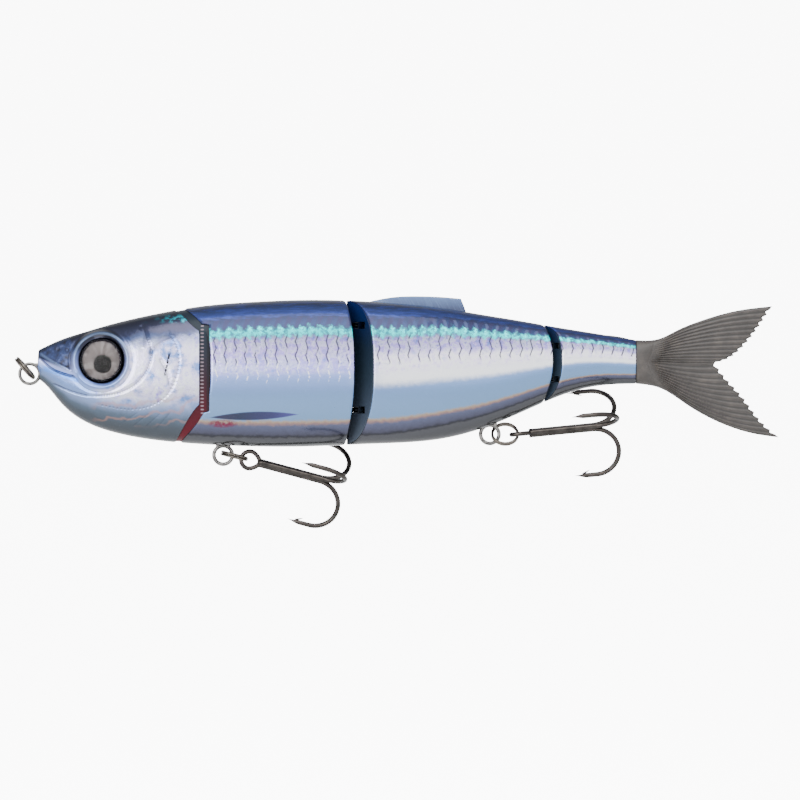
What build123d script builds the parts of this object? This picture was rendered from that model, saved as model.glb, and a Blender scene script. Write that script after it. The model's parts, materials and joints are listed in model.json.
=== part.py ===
"""Four-piece jointed swimbait: hard shells, foil skins, wire hinges, split rings, trebles, soft tail.

Millimetres.  The origin is the centre of the line-tie loop at the nose, +X runs to the tail,
+Z is the back of the fish and +Y its right side.  Every joint axis between segments is vertical.
"""
from build123d import *
from math import copysign, cos, pi, radians, sin
import os

os.makedirs("parts", exist_ok=True)

# ---------------------------------------------------------------- driving dimensions
# Body sections: (x, height of the back, height of the belly, half width).
SECTIONS = [
    (1.8, 5.2, -1.0, 1.5),
    (3.4, 6.0, -2.3, 2.5),
    (6.7, 7.5, -6.2, 4.1),
    (11.2, 9.0, -10.0, 5.6),
    (18.0, 11.0, -12.8, 7.0),
    (27.0, 13.1, -14.6, 8.0),
    (38.0, 15.0, -15.6, 8.6),
    (50.0, 16.0, -16.1, 8.9),
    (62.0, 16.4, -16.1, 8.85),
    (74.0, 16.1, -15.6, 8.45),
    (84.0, 15.4, -15.2, 7.8),
    (92.0, 14.5, -14.3, 7.1),
    (100.0, 13.2, -12.2, 6.2),
    (108.0, 11.9, -9.0, 5.3),
    (116.0, 10.5, -5.5, 4.6),
    (124.0, 9.2, -3.0, 3.7),
    (134.4, 7.5, -2.2, 2.5),
]
FULLNESS = 2.8          # 2 is an ellipse, larger is flatter-sided
KEEL = 0.22             # how much the section narrows towards the belly
SECTION_POINTS = 14     # points on each side of a section
SKIN = 0.3              # photo-print foil with its clear coat
WALL = 1.5              # moulded shell
GLUE_FIT = 0.05         # clearance of a glued or moulded-in piece
RUN_FIT = 0.08          # radial clearance of a wire eye on its pin
MOVE_GAP = 0.3          # clearance between segments that swing
REACH = 60.0            # longer than any section is high, for cutting tools

# Head joint: a barrel-shaped nose on the front segment turns in a socket behind the gills.
HEAD_AXIS = 39.0
BARREL_R = 8.0
BARREL_TOP_R = 6.6
BARREL_HALF = 15.0
BARREL_MID_Z = -0.4
HEAD_RIM = 37.9
HEAD_SWING = 12.0
# Edge of the foil on the front segment, which runs parallel to the gill edge.
FOIL_EDGE = [(33.0, 15.4), (36.2, 13.2), (39.3, 9.3), (40.3, 2.5), (40.2, -3.0), (38.7, -8.8), (33.0, -15.8)]

# Middle and tail joints: a wedge nose swings in a shallow hollow.
MID_AXIS = 72.4
MID_TIP_R = 2.1
MID_LIP = 72.0
MID_HOLLOW_R = 17.5
MID_HOLLOW_DEEP = 69.8
MID_SHOULDER = (76.4, 8.4)
TAIL_AXIS = 115.7
TAIL_TIP_R = 1.6
TAIL_LIP = 115.95
TAIL_HOLLOW_R = 6.1
TAIL_HOLLOW_DEEP = 113.75
TAIL_SHOULDER = (118.1, 4.6)
HULL_BACK = 45.0        # how far behind its axis a nose outline is carried
BODY_END = 134.4

# Hinge hardware: (axis x, pin radius, wire radius, eye heights, front end of the wires, pin ends).
HEAD_HINGE = (HEAD_AXIS, 0.6, 0.5, (8.0, -8.0), 25.0, (-11.5, 11.5))
MID_HINGE = (MID_AXIS, 0.6, 0.5, (10.7, -8.0), 64.5, (-12.0, 13.2))
TAIL_HINGE = (TAIL_AXIS, 0.5, 0.4, (6.2, -1.2), 109.0, (-3.4, 8.6))
SLOT_PLAY = 0.28        # clearance above and below a wire eye in its slot

# Hollows inside the shells: (first x, last x, floor z, ceiling z).
HEAD_CAVITY = (9.0, 24.0, -3.0, 30.0)
FRONT_CAVITY = (46.0, 63.0, -4.5, 30.0)
REAR_CAVITY = (80.0, 106.0, -4.0, 30.0)
# Ballast slugs: (centre x, centre z, radius, length).
HEAD_WEIGHT = (17.5, -7.2, 2.8, 9.0)
FRONT_WEIGHT = (55.0, -9.4, 3.2, 14.0)
REAR_WEIGHT = (88.0, -9.0, 2.2, 9.0)
RATTLE_R = 2.0
RATTLES = [(49.5, -2.5), (54.0, -2.5), (58.5, -2.5)]

# Eyes, tilted with the side of the head.
EYE_X = 16.2
EYE_Z = 2.95
EYE_R = 4.75
EYE_FACE_Y = 6.15
EYE_TILT = 11.0
EYE_DISC = 0.8
EYE_DOME = 1.15

# Line tie and belly hangers: wire loops with two legs each.
TIE_R = 2.2
TIE_WIRE = 0.38
TIE_LEGS = (2.0, -0.25)
TIE_DEPTH = 12.0
RING_SCOOP = 2.1
HANGER_R = 2.04
HANGER_WIRE = 0.43
HANGER_LEG = 1.2
FRONT_HANGER = (42.9, -18.0)
REAR_HANGER = (102.0, -13.4)
FRONT_LEG_TOP = -11.0
REAR_LEG_TOP = -6.5

# Split rings: two turns of wire.
RING_R = 2.85
RING_WIRE = 0.27
RING_PITCH = 0.56
NOSE_RING = ((-0.95, 1.2), -48.5)
FRONT_RING = ((45.4, -18.2), -14.0)
REAR_RING_CENTRE = (105.4, -13.35)
REAR_RING_ROLL = 50.0

# Treble hooks, size 2.
HOOK_WIRE = 0.53
HOOK_EYE_R = 1.92
HOOK_OFFSET = 0.55
HOOK_SHANK = 16.3
HOOK_BEND_R = 5.25
HOOK_SPEAR = 3.4
HOOK_POINT = 1.5
HOOK_TURN = -16.0
FRONT_HOOK = ((48.8, -19.1), -15.0)
REAR_HOOK = ((108.7, -13.3), 5.5)

# Dorsal fin, moulded clear, let into the back of the rear segment.
FIN_HALF = 0.65
FIN_OUTLINE = [(74.6, 15.9), (80.6, 17.0), (86.1, 17.2), (95.0, 16.8), (96.2, 16.3), (96.4, 14.7), (97.2, 13.4)]
FIN_ROOT = [(96.0, 11.6), (76.0, 14.0)]

# Soft tail: a thick root with a tongue in the tail segment, and the forked fin behind it.
TONGUE = (128.6, 1.0, -0.2, 5.4)
TAIL_ROOT_END = 139.2
TAIL_ROOT_SECTION = (7.7, -3.0, 1.5)
FLEX_AXIS = 141.0
FLEX_NOSE_R = 1.5
FIN_TIP_HALF = 0.55
TAIL_UPPER = [(140.2, 8.1), (143.4, 9.6), (149.1, 11.9), (156.7, 14.0), (164.0, 15.0)]
TAIL_NOTCH_UP = [(164.9, 14.2), (161.7, 10.4), (158.6, 6.2), (155.2, 3.3), (151.8, 2.4)]
TAIL_NOTCH_DOWN = [(154.4, -0.6), (158.3, -5.0), (161.3, -9.3), (164.4, -11.8), (166.2, -13.8)]
TAIL_LOWER = [(165.4, -14.2), (160.6, -13.3), (152.9, -10.8), (145.3, -6.6), (140.2, -3.3)]
RETAINER_X = 131.4
RETAINER_Z = 2.6
RETAINER_R = 0.5


# ---------------------------------------------------------------- shared shapes
def section_half(back, belly, half_width, inset, side):
    """Points of one side of a body section, from the back to the belly, as (y, z)."""
    middle = (back + belly) / 2
    half_height = (back - belly) / 2 - inset
    points = []
    for step in range(SECTION_POINTS + 1):
        angle = pi / 2 - pi * step / SECTION_POINTS
        up = copysign(abs(sin(angle)) ** (2 / FULLNESS), sin(angle))
        out = abs(cos(angle)) ** (2 / FULLNESS) if 0 < step < SECTION_POINTS else 0.0
        keel = 1 - KEEL * max(0.0, -up) ** 2
        points.append((side * out * keel * (half_width - inset), middle + up * half_height))
    return points


def body_form(inset):
    """The whole fish without its joints, drawn in by inset all round."""
    with BuildPart() as form:
        for x, back, belly, half_width in SECTIONS:
            with BuildSketch(Plane(origin=(x, 0, 0), x_dir=(0, 1, 0), z_dir=(1, 0, 0))):
                with BuildLine():
                    Spline(section_half(back, belly, half_width, inset, 1))
                    Spline(section_half(back, belly, half_width, inset, -1))
                make_face()
        loft()
    return form.part


def prism_between(x_min, x_max, z_min=-REACH, z_max=REACH, half_y=REACH):
    """A plain block, used as a cutting tool."""
    with BuildPart() as block:
        with Locations(((x_min + x_max) / 2, 0, (z_min + z_max) / 2)):
            Box(x_max - x_min, 2 * half_y, z_max - z_min)
    return block.part


def upright(radius, x, z_min=-REACH, z_max=REACH):
    """A vertical cylinder on the middle plane."""
    with BuildPart() as column:
        with Locations((x, 0, (z_min + z_max) / 2)):
            Cylinder(radius, z_max - z_min)
    return column.part


def lying(radius, x, z, length):
    """A cylinder along X on the middle plane."""
    with BuildPart() as bar:
        with Locations(Location((x, 0, z), (0, 90, 0))):
            Cylinder(radius, length)
    return bar.part


def barrel(extra):
    """The turned nose of the front segment, larger all round by extra."""
    axis = Plane(origin=(HEAD_AXIS, 0, BARREL_MID_Z), x_dir=(1, 0, 0), z_dir=(0, -1, 0))
    with BuildPart() as body:
        with BuildSketch(axis):
            with BuildLine():
                ThreePointArc(
                    (BARREL_TOP_R + extra, -BARREL_HALF),
                    (BARREL_R + extra, 0),
                    (BARREL_TOP_R + extra, BARREL_HALF),
                )
                Polyline(
                    (BARREL_TOP_R + extra, BARREL_HALF),
                    (BARREL_TOP_R + extra, REACH),
                    (0, REACH),
                    (0, -REACH),
                    (BARREL_TOP_R + extra, -REACH),
                    (BARREL_TOP_R + extra, -BARREL_HALF),
                )
            make_face()
        revolve(axis=Axis((HEAD_AXIS, 0, 0), (0, 0, 1)))
    return body.part


def wedge_nose(axis_x, tip_radius, shoulder):
    """Everything behind a wedge-shaped nose with a round tip, as a vertical prism."""
    shoulder_x, half_width = shoulder
    with BuildPart() as nose:
        with BuildSketch(Plane.XY.offset(-REACH)):
            with Locations((axis_x, 0)):
                Circle(tip_radius)
            with BuildLine():
                Polyline(
                    (shoulder_x, half_width),
                    (axis_x + HULL_BACK, half_width),
                    (axis_x + HULL_BACK, -half_width),
                    (shoulder_x, -half_width),
                    close=True,
                )
            make_face()
            make_hull()
        extrude(amount=2 * REACH)
    return nose.part


def foil_edge_tool():
    """Everything in front of the foil edge of the front segment."""
    with BuildPart() as tool:
        with BuildSketch(Plane.XZ.offset(-REACH)):
            with BuildLine():
                Polyline(FOIL_EDGE[0], (FOIL_EDGE[0][0], REACH), (0, REACH), (0, -REACH),
                         (FOIL_EDGE[-1][0], -REACH), FOIL_EDGE[-1])
                Spline(FOIL_EDGE)
            make_face()
        extrude(amount=2 * REACH)
    return tool.part


def keep(solid, tool):
    """The part of solid inside tool."""
    with BuildPart() as result:
        add(solid)
        add(tool, mode=Mode.INTERSECT)
    return result.part


def cut(solid, *tools):
    """The part of solid outside every tool."""
    with BuildPart() as result:
        add(solid)
        for tool in tools:
            add(tool, mode=Mode.SUBTRACT)
    return result.part


def save(part, name):
    """Label a finished piece and write it."""
    part.label = name
    export_step(part, f"parts/{name}.step")


def save_halves(part, stem):
    """Write the right (+Y) and left (-Y) halves of a piece that is split on the middle plane."""
    for side, keep_side in (("right", Keep.TOP), ("left", Keep.BOTTOM)):
        with BuildPart() as half:
            add(part)
            split(bisect_by=Plane(origin=(0, 0, 0), x_dir=(1, 0, 0), z_dir=(0, 1, 0)), keep=keep_side)
        save(half.part, f"{stem}_{side}")


# ---------------------------------------------------------------- wire pieces
def wire_loop(centre, radius, wire, legs):
    """A loop about Y with straight legs; each leg is (start, end) in (x, z)."""
    with BuildPart() as loop:
        with Locations(Location((centre[0], 0, centre[1]), (90, 0, 0))):
            Torus(radius, wire)
        for start, end in legs:
            path = Vector(end[0] - start[0], 0, end[1] - start[1])
            with BuildSketch(Plane(origin=(start[0], 0, start[1]), z_dir=path)):
                Circle(wire)
            extrude(amount=path.length)
    return loop.part


def line_tie_wire(wire):
    """The nose loop, whose legs run back into the head."""
    legs = []
    for height in TIE_LEGS:
        start = (TIE_R ** 2 - height ** 2) ** 0.5
        legs.append(((start, height), (TIE_DEPTH, height)))
    return wire_loop((0, 0), TIE_R, wire, legs)


def hanger_wire(centre, leg_top, wire):
    """A belly loop, whose legs run up into the segment."""
    rise = (HANGER_R ** 2 - HANGER_LEG ** 2) ** 0.5
    legs = []
    for offset in (-HANGER_LEG, HANGER_LEG):
        x = centre[0] + offset
        legs.append(((x, centre[1] + rise), (x, leg_top)))
    return wire_loop(centre, HANGER_R, wire, legs)


def hinge_eyes(hinge, grow=0.0):
    """The upper and lower wire eyes of a joint, with shanks that run forward into the segment."""
    axis_x, pin_radius, wire, heights, front_end, _ = hinge
    eye_radius = pin_radius + RUN_FIT + wire
    with BuildPart() as eyes:
        for height in heights:
            if not grow:
                with Locations((axis_x, 0, height)):
                    Torus(eye_radius, wire)
            with BuildSketch(Plane(origin=(front_end - grow, 0, height), z_dir=(1, 0, 0))):
                Circle(wire + grow)
            extrude(amount=axis_x - eye_radius - front_end + grow)
    return eyes.part


def hinge_pin(hinge, grow=0.0):
    """The straight pin that the wire eyes turn on."""
    axis_x, pin_radius, _, _, _, (low, high) = hinge
    return upright(pin_radius + grow, axis_x, low - grow, high + grow)


def eye_slots(hinge, front_x, half_front, half_back):
    """The slots in a nose that let its wire eyes swing."""
    axis_x, pin_radius, wire, heights, _, _ = hinge
    back_x = axis_x + pin_radius + RUN_FIT + 2 * wire + SLOT_PLAY
    half_height = wire + SLOT_PLAY
    with BuildPart() as slots:
        for height in heights:
            with BuildSketch(Plane.XY.offset(height - half_height)):
                with BuildLine():
                    Polyline((front_x, -half_front), (back_x, -half_back), (back_x, half_back),
                             (front_x, half_front), close=True)
                make_face()
            extrude(amount=2 * half_height)
    return slots.part


def split_ring(plane):
    """Two close turns of wire, in the given plane."""
    with BuildPart() as ring:
        with BuildLine() as coil:
            Helix(RING_PITCH, 2 * RING_PITCH, RING_R, center=(0, 0, -RING_PITCH))
        with BuildSketch(Plane(origin=coil.line @ 0, z_dir=coil.line % 0)):
            Circle(RING_WIRE)
        sweep()
    return plane * ring.part


def treble(centre, slope, eye_roll):
    """A treble hook, three wires brazed together; eye_roll turns its eye about the shank."""
    frame = Plane(origin=(centre[0], 0, centre[1]), x_dir=(cos(radians(slope)), 0, sin(radians(slope))),
                  z_dir=(0, -1, 0))
    with BuildPart() as hook:
        with Locations(Location((0, 0, 0), (eye_roll, 0, 0))):
            Torus(HOOK_EYE_R, HOOK_WIRE)
        for arm in range(3):
            turn = HOOK_TURN + 120 * arm
            side = (0, -cos(radians(turn)), sin(radians(turn)))
            arm_plane = Plane(origin=(0, 0, 0), x_dir=(1, 0, 0),
                              z_dir=Vector(1, 0, 0).cross(Vector(*side)))
            top = HOOK_OFFSET + 2 * HOOK_BEND_R
            spear_end = HOOK_SHANK - HOOK_SPEAR
            with BuildLine(arm_plane) as path:
                Line((HOOK_EYE_R, HOOK_OFFSET), (HOOK_SHANK, HOOK_OFFSET))
                ThreePointArc((HOOK_SHANK, HOOK_OFFSET),
                              (HOOK_SHANK + HOOK_BEND_R, HOOK_OFFSET + HOOK_BEND_R),
                              (HOOK_SHANK, top))
                Line((HOOK_SHANK, top), (spear_end, top))
            with BuildSketch(Plane(origin=path.line @ 0, z_dir=path.line % 0)):
                Circle(HOOK_WIRE)
            sweep(path=path.line)
            tip_plane = Plane(origin=arm_plane.from_local_coords((spear_end, top, 0)), z_dir=(-1, 0, 0))
            with BuildSketch(tip_plane):
                Circle(HOOK_WIRE)
            with BuildSketch(tip_plane.offset(HOOK_POINT)):
                Circle(HOOK_WIRE / 8)
            loft()
    return frame * hook.part


# ---------------------------------------------------------------- body blanks
outer_form = body_form(0.0)
shell_form = body_form(SKIN)
cavity_form = body_form(SKIN + WALL)

head_socket = barrel(MOVE_GAP)
front_barrel = barrel(0.0)
front_of_foil = foil_edge_tool()
mid_hollow = upright(MID_HOLLOW_R, MID_HOLLOW_DEEP + MID_HOLLOW_R)
tail_hollow = upright(TAIL_HOLLOW_R, TAIL_HOLLOW_DEEP + TAIL_HOLLOW_R)
mid_wedge = wedge_nose(MID_AXIS, MID_TIP_R, MID_SHOULDER)
tail_wedge = wedge_nose(TAIL_AXIS, TAIL_TIP_R, TAIL_SHOULDER)


def segment(form, name):
    """One segment of a body form, with its joint faces but without its inner works."""
    if name == "head":
        return cut(keep(form, prism_between(0, HEAD_RIM)), head_socket)
    if name == "front":
        return cut(keep(form, prism_between(HEAD_AXIS - BARREL_R - 1, MID_LIP)), front_of_foil, mid_hollow)
    if name == "rear":
        return cut(keep(keep(form, prism_between(MID_AXIS - MID_TIP_R - 1, TAIL_LIP)), mid_wedge), tail_hollow)
    return keep(keep(form, prism_between(TAIL_AXIS - TAIL_TIP_R - 1, BODY_END)), tail_wedge)


def cavity(limits):
    """The hollow of a segment."""
    x_min, x_max, floor, ceiling = limits
    return keep(cavity_form, prism_between(x_min, x_max, floor, ceiling))


def weight(limits, grow=0.0):
    """A ballast slug, or with grow the pocket it lies in."""
    x, z, radius, length = limits
    return lying(radius + grow, x, z, length + 2 * grow)


def eye_plane(side):
    """The plane of an eye's back, facing outwards and a little forwards."""
    out = (-sin(radians(EYE_TILT)), side * cos(radians(EYE_TILT)), 0.04)
    return Plane(origin=(EYE_X, side * EYE_FACE_Y, EYE_Z), z_dir=out).offset(-EYE_DISC)


def eye_pocket(side):
    """The round seat of an eye in the side of the head."""
    with BuildPart() as pocket:
        with BuildSketch(eye_plane(side).offset(-GLUE_FIT)):
            Circle(EYE_R + GLUE_FIT)
        extrude(amount=EYE_R)
    return pocket.part


# ---------------------------------------------------------------- head
scoop = Plane.XZ * Cylinder(RING_SCOOP, 2 * REACH)
tie_bore = line_tie_wire(TIE_WIRE + GLUE_FIT)
head_cuts = [scoop, tie_bore, eye_pocket(1), eye_pocket(-1)]
head_skin = cut(segment(outer_form, "head"), shell_form, *head_cuts)
head_shell = cut(segment(shell_form, "head"), cavity(HEAD_CAVITY), weight(HEAD_WEIGHT, GLUE_FIT),
                 hinge_eyes(HEAD_HINGE, GLUE_FIT), *head_cuts)
save_halves(head_skin, "head_foil")
save_halves(head_shell, "head_shell")
save(line_tie_wire(TIE_WIRE), "line_tie")
save(weight(HEAD_WEIGHT), "head_weight")
save(hinge_eyes(HEAD_HINGE), "head_hinge_eyes")

for side, word in ((1, "right"), (-1, "left")):
    with BuildPart() as iris:
        with BuildSketch(eye_plane(side)):
            Circle(EYE_R)
        extrude(amount=EYE_DISC)
    save(iris.part, f"eye_{word}")
    half_way = EYE_R / 2
    dome_radius = (EYE_R ** 2 + EYE_DOME ** 2) / (2 * EYE_DOME)
    half_way_height = EYE_DOME - dome_radius + (dome_radius ** 2 - half_way ** 2) ** 0.5
    with BuildPart() as lens:
        with BuildSketch(Plane.XZ):
            with BuildLine():
                ThreePointArc((EYE_R, 0), (half_way, half_way_height), (0, EYE_DOME))
                Polyline((0, EYE_DOME), (0, 0), (EYE_R, 0))
            make_face()
        revolve(axis=Axis.Z)
    save(eye_plane(side).offset(EYE_DISC) * lens.part, f"eye_lens_{word}")

# ---------------------------------------------------------------- front segment
front_nose = keep(keep(shell_form, prism_between(HEAD_AXIS - BARREL_R - 1, HEAD_AXIS + 4)), front_barrel)
front_blank = segment(shell_form, "front") + front_nose
front_hanger_bore = hanger_wire(FRONT_HANGER, FRONT_LEG_TOP + GLUE_FIT, HANGER_WIRE + GLUE_FIT)
head_slots = eye_slots(HEAD_HINGE, HEAD_AXIS - BARREL_R - 1, 2.9, 2.0)
front_skin = cut(segment(outer_form, "front"), shell_form, front_hanger_bore)
front_shell = cut(front_blank, cavity(FRONT_CAVITY), weight(FRONT_WEIGHT, GLUE_FIT), front_hanger_bore,
                  head_slots, hinge_pin(HEAD_HINGE, GLUE_FIT / 5), hinge_eyes(MID_HINGE, GLUE_FIT))
save_halves(front_skin, "front_foil")
save_halves(front_shell, "front_shell")
save(hinge_pin(HEAD_HINGE), "head_pin")
save(weight(FRONT_WEIGHT), "front_weight")
save(hanger_wire(FRONT_HANGER, FRONT_LEG_TOP, HANGER_WIRE), "front_hanger")
save(hinge_eyes(MID_HINGE), "front_hinge_eyes")

with BuildPart() as rattles:
    with Locations([(x, 0, z) for x, z in RATTLES]):
        Sphere(RATTLE_R)
save(rattles.part, "rattle_balls")

# ---------------------------------------------------------------- rear segment
def dorsal_fin():
    """The dorsal fin with its root."""
    with BuildPart() as fin:
        with BuildSketch(Plane.XZ.offset(-FIN_HALF)):
            with BuildLine():
                Spline(FIN_OUTLINE[:4])
                Polyline(FIN_OUTLINE[3:] + FIN_ROOT + FIN_OUTLINE[:1])
            make_face()
        extrude(amount=2 * FIN_HALF)
    return fin.part


def fin_groove():
    """The groove in the back that the root of the dorsal fin is glued into."""
    (front_x, front_z), (back_x, back_z) = FIN_OUTLINE[0], FIN_OUTLINE[-1]
    (root_back_x, root_back_z), (root_front_x, root_front_z) = FIN_ROOT
    with BuildPart() as groove:
        with BuildSketch(Plane.XZ.offset(-FIN_HALF - GLUE_FIT)):
            with BuildLine():
                Polyline(
                    (front_x - GLUE_FIT, REACH),
                    (front_x - GLUE_FIT, front_z - GLUE_FIT),
                    (root_front_x - GLUE_FIT, root_front_z - GLUE_FIT),
                    (root_back_x + GLUE_FIT, root_back_z - GLUE_FIT),
                    (back_x + GLUE_FIT, back_z - GLUE_FIT),
                    (back_x + GLUE_FIT, REACH),
                    close=True,
                )
            make_face()
        extrude(amount=2 * (FIN_HALF + GLUE_FIT))
    return groove.part


rear_hanger_bore = hanger_wire(REAR_HANGER, REAR_LEG_TOP + GLUE_FIT, HANGER_WIRE + GLUE_FIT)
mid_slots = eye_slots(MID_HINGE, MID_AXIS - MID_TIP_R - 1, REACH, REACH)
rear_cuts = [rear_hanger_bore, mid_slots, fin_groove()]
rear_skin = cut(segment(outer_form, "rear"), shell_form, *rear_cuts)
rear_shell = cut(segment(shell_form, "rear"), cavity(REAR_CAVITY), weight(REAR_WEIGHT, GLUE_FIT),
                 hinge_pin(MID_HINGE, GLUE_FIT / 5), hinge_eyes(TAIL_HINGE, GLUE_FIT), *rear_cuts)
save_halves(rear_skin, "rear_foil")
save_halves(rear_shell, "rear_shell")
save(hinge_pin(MID_HINGE), "middle_pin")
save(weight(REAR_WEIGHT), "rear_weight")
save(hanger_wire(REAR_HANGER, REAR_LEG_TOP, HANGER_WIRE), "rear_hanger")
save(hinge_eyes(TAIL_HINGE), "rear_hinge_eyes")
save(dorsal_fin(), "dorsal_fin")

# ---------------------------------------------------------------- tail segment and soft tail
def retainer(radius, half_length):
    """The cross pin that holds the soft tail's tongue."""
    with BuildPart() as pin:
        with Locations(Location((RETAINER_X, 0, RETAINER_Z), (90, 0, 0))):
            Cylinder(radius, 2 * half_length)
    return pin.part


def tongue(grow=0.0):
    """The flat tongue of the soft tail, or with grow its slot."""
    front, half, low, high = TONGUE
    return prism_between(front - grow, BODY_END + grow, low - grow, high + grow, half + grow)


tail_slots = eye_slots(TAIL_HINGE, TAIL_AXIS - TAIL_TIP_R - 1, REACH, REACH)
retainer_half = 2.1
tail_cuts = [tail_slots, retainer(RETAINER_R + GLUE_FIT / 2, retainer_half + GLUE_FIT)]
tail_skin = cut(segment(outer_form, "tail"), shell_form, tail_slots)
tail_shell = cut(segment(shell_form, "tail"), hinge_pin(TAIL_HINGE, GLUE_FIT / 5), tongue(GLUE_FIT), *tail_cuts)
save_halves(tail_skin, "tail_foil")
save_halves(tail_shell, "tail_shell")
save(hinge_pin(TAIL_HINGE), "tail_pin")
save(retainer(RETAINER_R, retainer_half), "tail_retainer")

root_sections = [(BODY_END + GLUE_FIT, *SECTIONS[-1][1:]), (TAIL_ROOT_END, *TAIL_ROOT_SECTION)]
with BuildPart() as tail_root:
    for x, back, belly, half_width in root_sections:
        with BuildSketch(Plane(origin=(x, 0, 0), x_dir=(0, 1, 0), z_dir=(1, 0, 0))):
            with BuildLine():
                Spline(section_half(back, belly, half_width, 0.0, 1))
                Spline(section_half(back, belly, half_width, 0.0, -1))
            make_face()
    loft()
    add(tongue(0.0))
    add(prism_between(BODY_END - 1, BODY_END + 1, TONGUE[2], TONGUE[3], TONGUE[1]))
    add(retainer(RETAINER_R + GLUE_FIT / 2, REACH), mode=Mode.SUBTRACT)
save(tail_root.part, "soft_tail_root")

with BuildPart() as tail_fin:
    with BuildSketch(Plane.XZ.offset(-FLEX_NOSE_R - 1)):
        with BuildLine():
            Polyline(TAIL_LOWER[-1], (FLEX_AXIS - FLEX_NOSE_R, -3.0), (FLEX_AXIS - FLEX_NOSE_R, 7.8), TAIL_UPPER[0])
            Spline(TAIL_UPPER)
            Line(TAIL_UPPER[-1], TAIL_NOTCH_UP[0])
            Spline(TAIL_NOTCH_UP)
            Polyline(TAIL_NOTCH_UP[-1], TAIL_NOTCH_DOWN[0])
            Spline(TAIL_NOTCH_DOWN)
            Line(TAIL_NOTCH_DOWN[-1], TAIL_LOWER[0])
            Spline(TAIL_LOWER)
        make_face()
    extrude(amount=2 * (FLEX_NOSE_R + 1))
    with BuildSketch(Plane.XY.offset(-REACH)):
        with Locations((FLEX_AXIS, 0)):
            Circle(FLEX_NOSE_R)
        with BuildLine():
            Polyline((FLEX_AXIS + 1, FIN_TIP_HALF), (TAIL_NOTCH_DOWN[-1][0] + 1, FIN_TIP_HALF),
                     (TAIL_NOTCH_DOWN[-1][0] + 1, -FIN_TIP_HALF), (FLEX_AXIS + 1, -FIN_TIP_HALF), close=True)
        make_face()
        make_hull()
    extrude(amount=2 * REACH, mode=Mode.INTERSECT)
save(tail_fin.part, "soft_tail_fin")

# ---------------------------------------------------------------- rings and hooks
def ring_plane(centre, slope, roll):
    """The plane of a split ring whose diameter along the fish slopes by slope and rolls about it."""
    along = Vector(cos(radians(slope)), 0, sin(radians(slope)))
    across = Vector(0, 1, 0).rotate(Axis((0, 0, 0), along), roll)
    return Plane(origin=(centre[0], 0, centre[1]), x_dir=across, z_dir=along.cross(across))


save(split_ring(ring_plane(*NOSE_RING, 0.0)), "nose_ring")
save(split_ring(ring_plane(*FRONT_RING, 0.0)), "front_ring")
save(split_ring(ring_plane(REAR_RING_CENTRE, 0.0, REAR_RING_ROLL)), "rear_ring")
save(treble(*FRONT_HOOK, 0), "front_treble")
save(treble(*REAR_HOOK, 90), "rear_treble")
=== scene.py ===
"""Looks of the four-piece swimbait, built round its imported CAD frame."""
import json
from math import atan2, cos, pi, radians, sin

import bmesh
import bpy
import numpy as np
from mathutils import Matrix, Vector

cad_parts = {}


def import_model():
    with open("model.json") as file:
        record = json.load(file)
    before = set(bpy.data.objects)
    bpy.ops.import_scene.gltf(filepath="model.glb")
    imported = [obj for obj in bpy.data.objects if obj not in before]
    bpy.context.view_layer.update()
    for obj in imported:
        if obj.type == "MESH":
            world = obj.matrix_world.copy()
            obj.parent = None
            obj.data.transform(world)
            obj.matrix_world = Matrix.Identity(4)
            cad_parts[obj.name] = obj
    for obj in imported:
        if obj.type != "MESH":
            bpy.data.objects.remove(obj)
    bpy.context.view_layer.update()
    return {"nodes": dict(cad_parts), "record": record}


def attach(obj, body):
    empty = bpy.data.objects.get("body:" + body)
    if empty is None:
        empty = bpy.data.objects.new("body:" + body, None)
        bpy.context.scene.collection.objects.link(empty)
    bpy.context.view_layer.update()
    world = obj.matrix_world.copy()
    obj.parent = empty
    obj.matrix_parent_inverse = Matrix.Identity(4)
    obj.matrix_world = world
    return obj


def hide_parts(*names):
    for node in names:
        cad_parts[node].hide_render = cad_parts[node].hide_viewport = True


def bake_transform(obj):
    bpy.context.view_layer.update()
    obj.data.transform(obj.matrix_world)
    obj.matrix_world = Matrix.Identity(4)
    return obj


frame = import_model()
MM = 0.001

# ---------------------------------------------------------------- sizes of the fish, in millimetres
# Body sections: (x, height of the back, height of the belly, half width).
SECTIONS = np.array([
    (1.8, 5.2, -1.0, 1.5),
    (3.4, 6.0, -2.3, 2.5),
    (6.7, 7.5, -6.2, 4.1),
    (11.2, 9.0, -10.0, 5.6),
    (18.0, 11.0, -12.8, 7.0),
    (27.0, 13.1, -14.6, 8.0),
    (38.0, 15.0, -15.6, 8.6),
    (50.0, 16.0, -16.1, 8.9),
    (62.0, 16.4, -16.1, 8.85),
    (74.0, 16.1, -15.6, 8.45),
    (84.0, 15.4, -15.2, 7.8),
    (92.0, 14.5, -14.3, 7.1),
    (100.0, 13.2, -12.2, 6.2),
    (108.0, 11.9, -9.0, 5.3),
    (116.0, 10.5, -5.5, 4.6),
    (124.0, 9.2, -3.0, 3.7),
    (134.4, 7.5, -2.2, 2.5),
])
FULLNESS = 2.8
KEEL = 0.22
SKIN = 0.3
HEAD_AXIS = 39.0
SOCKET_R = 8.3
SOCKET_SAG = 161.5      # twice the radius of the barrel's side profile
SOCKET_MID_Z = -0.4
BARREL_PLAY = 0.3
TIE_SCOOP = 2.25         # room round the line tie for its split ring
NOSE_X = 2.1
HEAD_RIM = 37.9
FOIL_EDGE = np.array([(33.0, 15.4), (36.2, 13.2), (39.3, 9.3), (40.3, 2.5), (40.2, -3.0), (38.7, -8.8),
                      (33.0, -15.8)])
MID = {"axis": 72.4, "tip": 2.1, "shoulder": (76.4, 8.4), "lip": 72.0, "hollow": 17.5, "deep": 69.8}
TAIL = {"axis": 115.7, "tip": 1.6, "shoulder": (118.1, 4.6), "lip": 115.95, "hollow": 6.1, "deep": 113.75}
BODY_END = 134.4
EYE = np.array([16.2, 2.95])
EYE_R = 4.75
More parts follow.
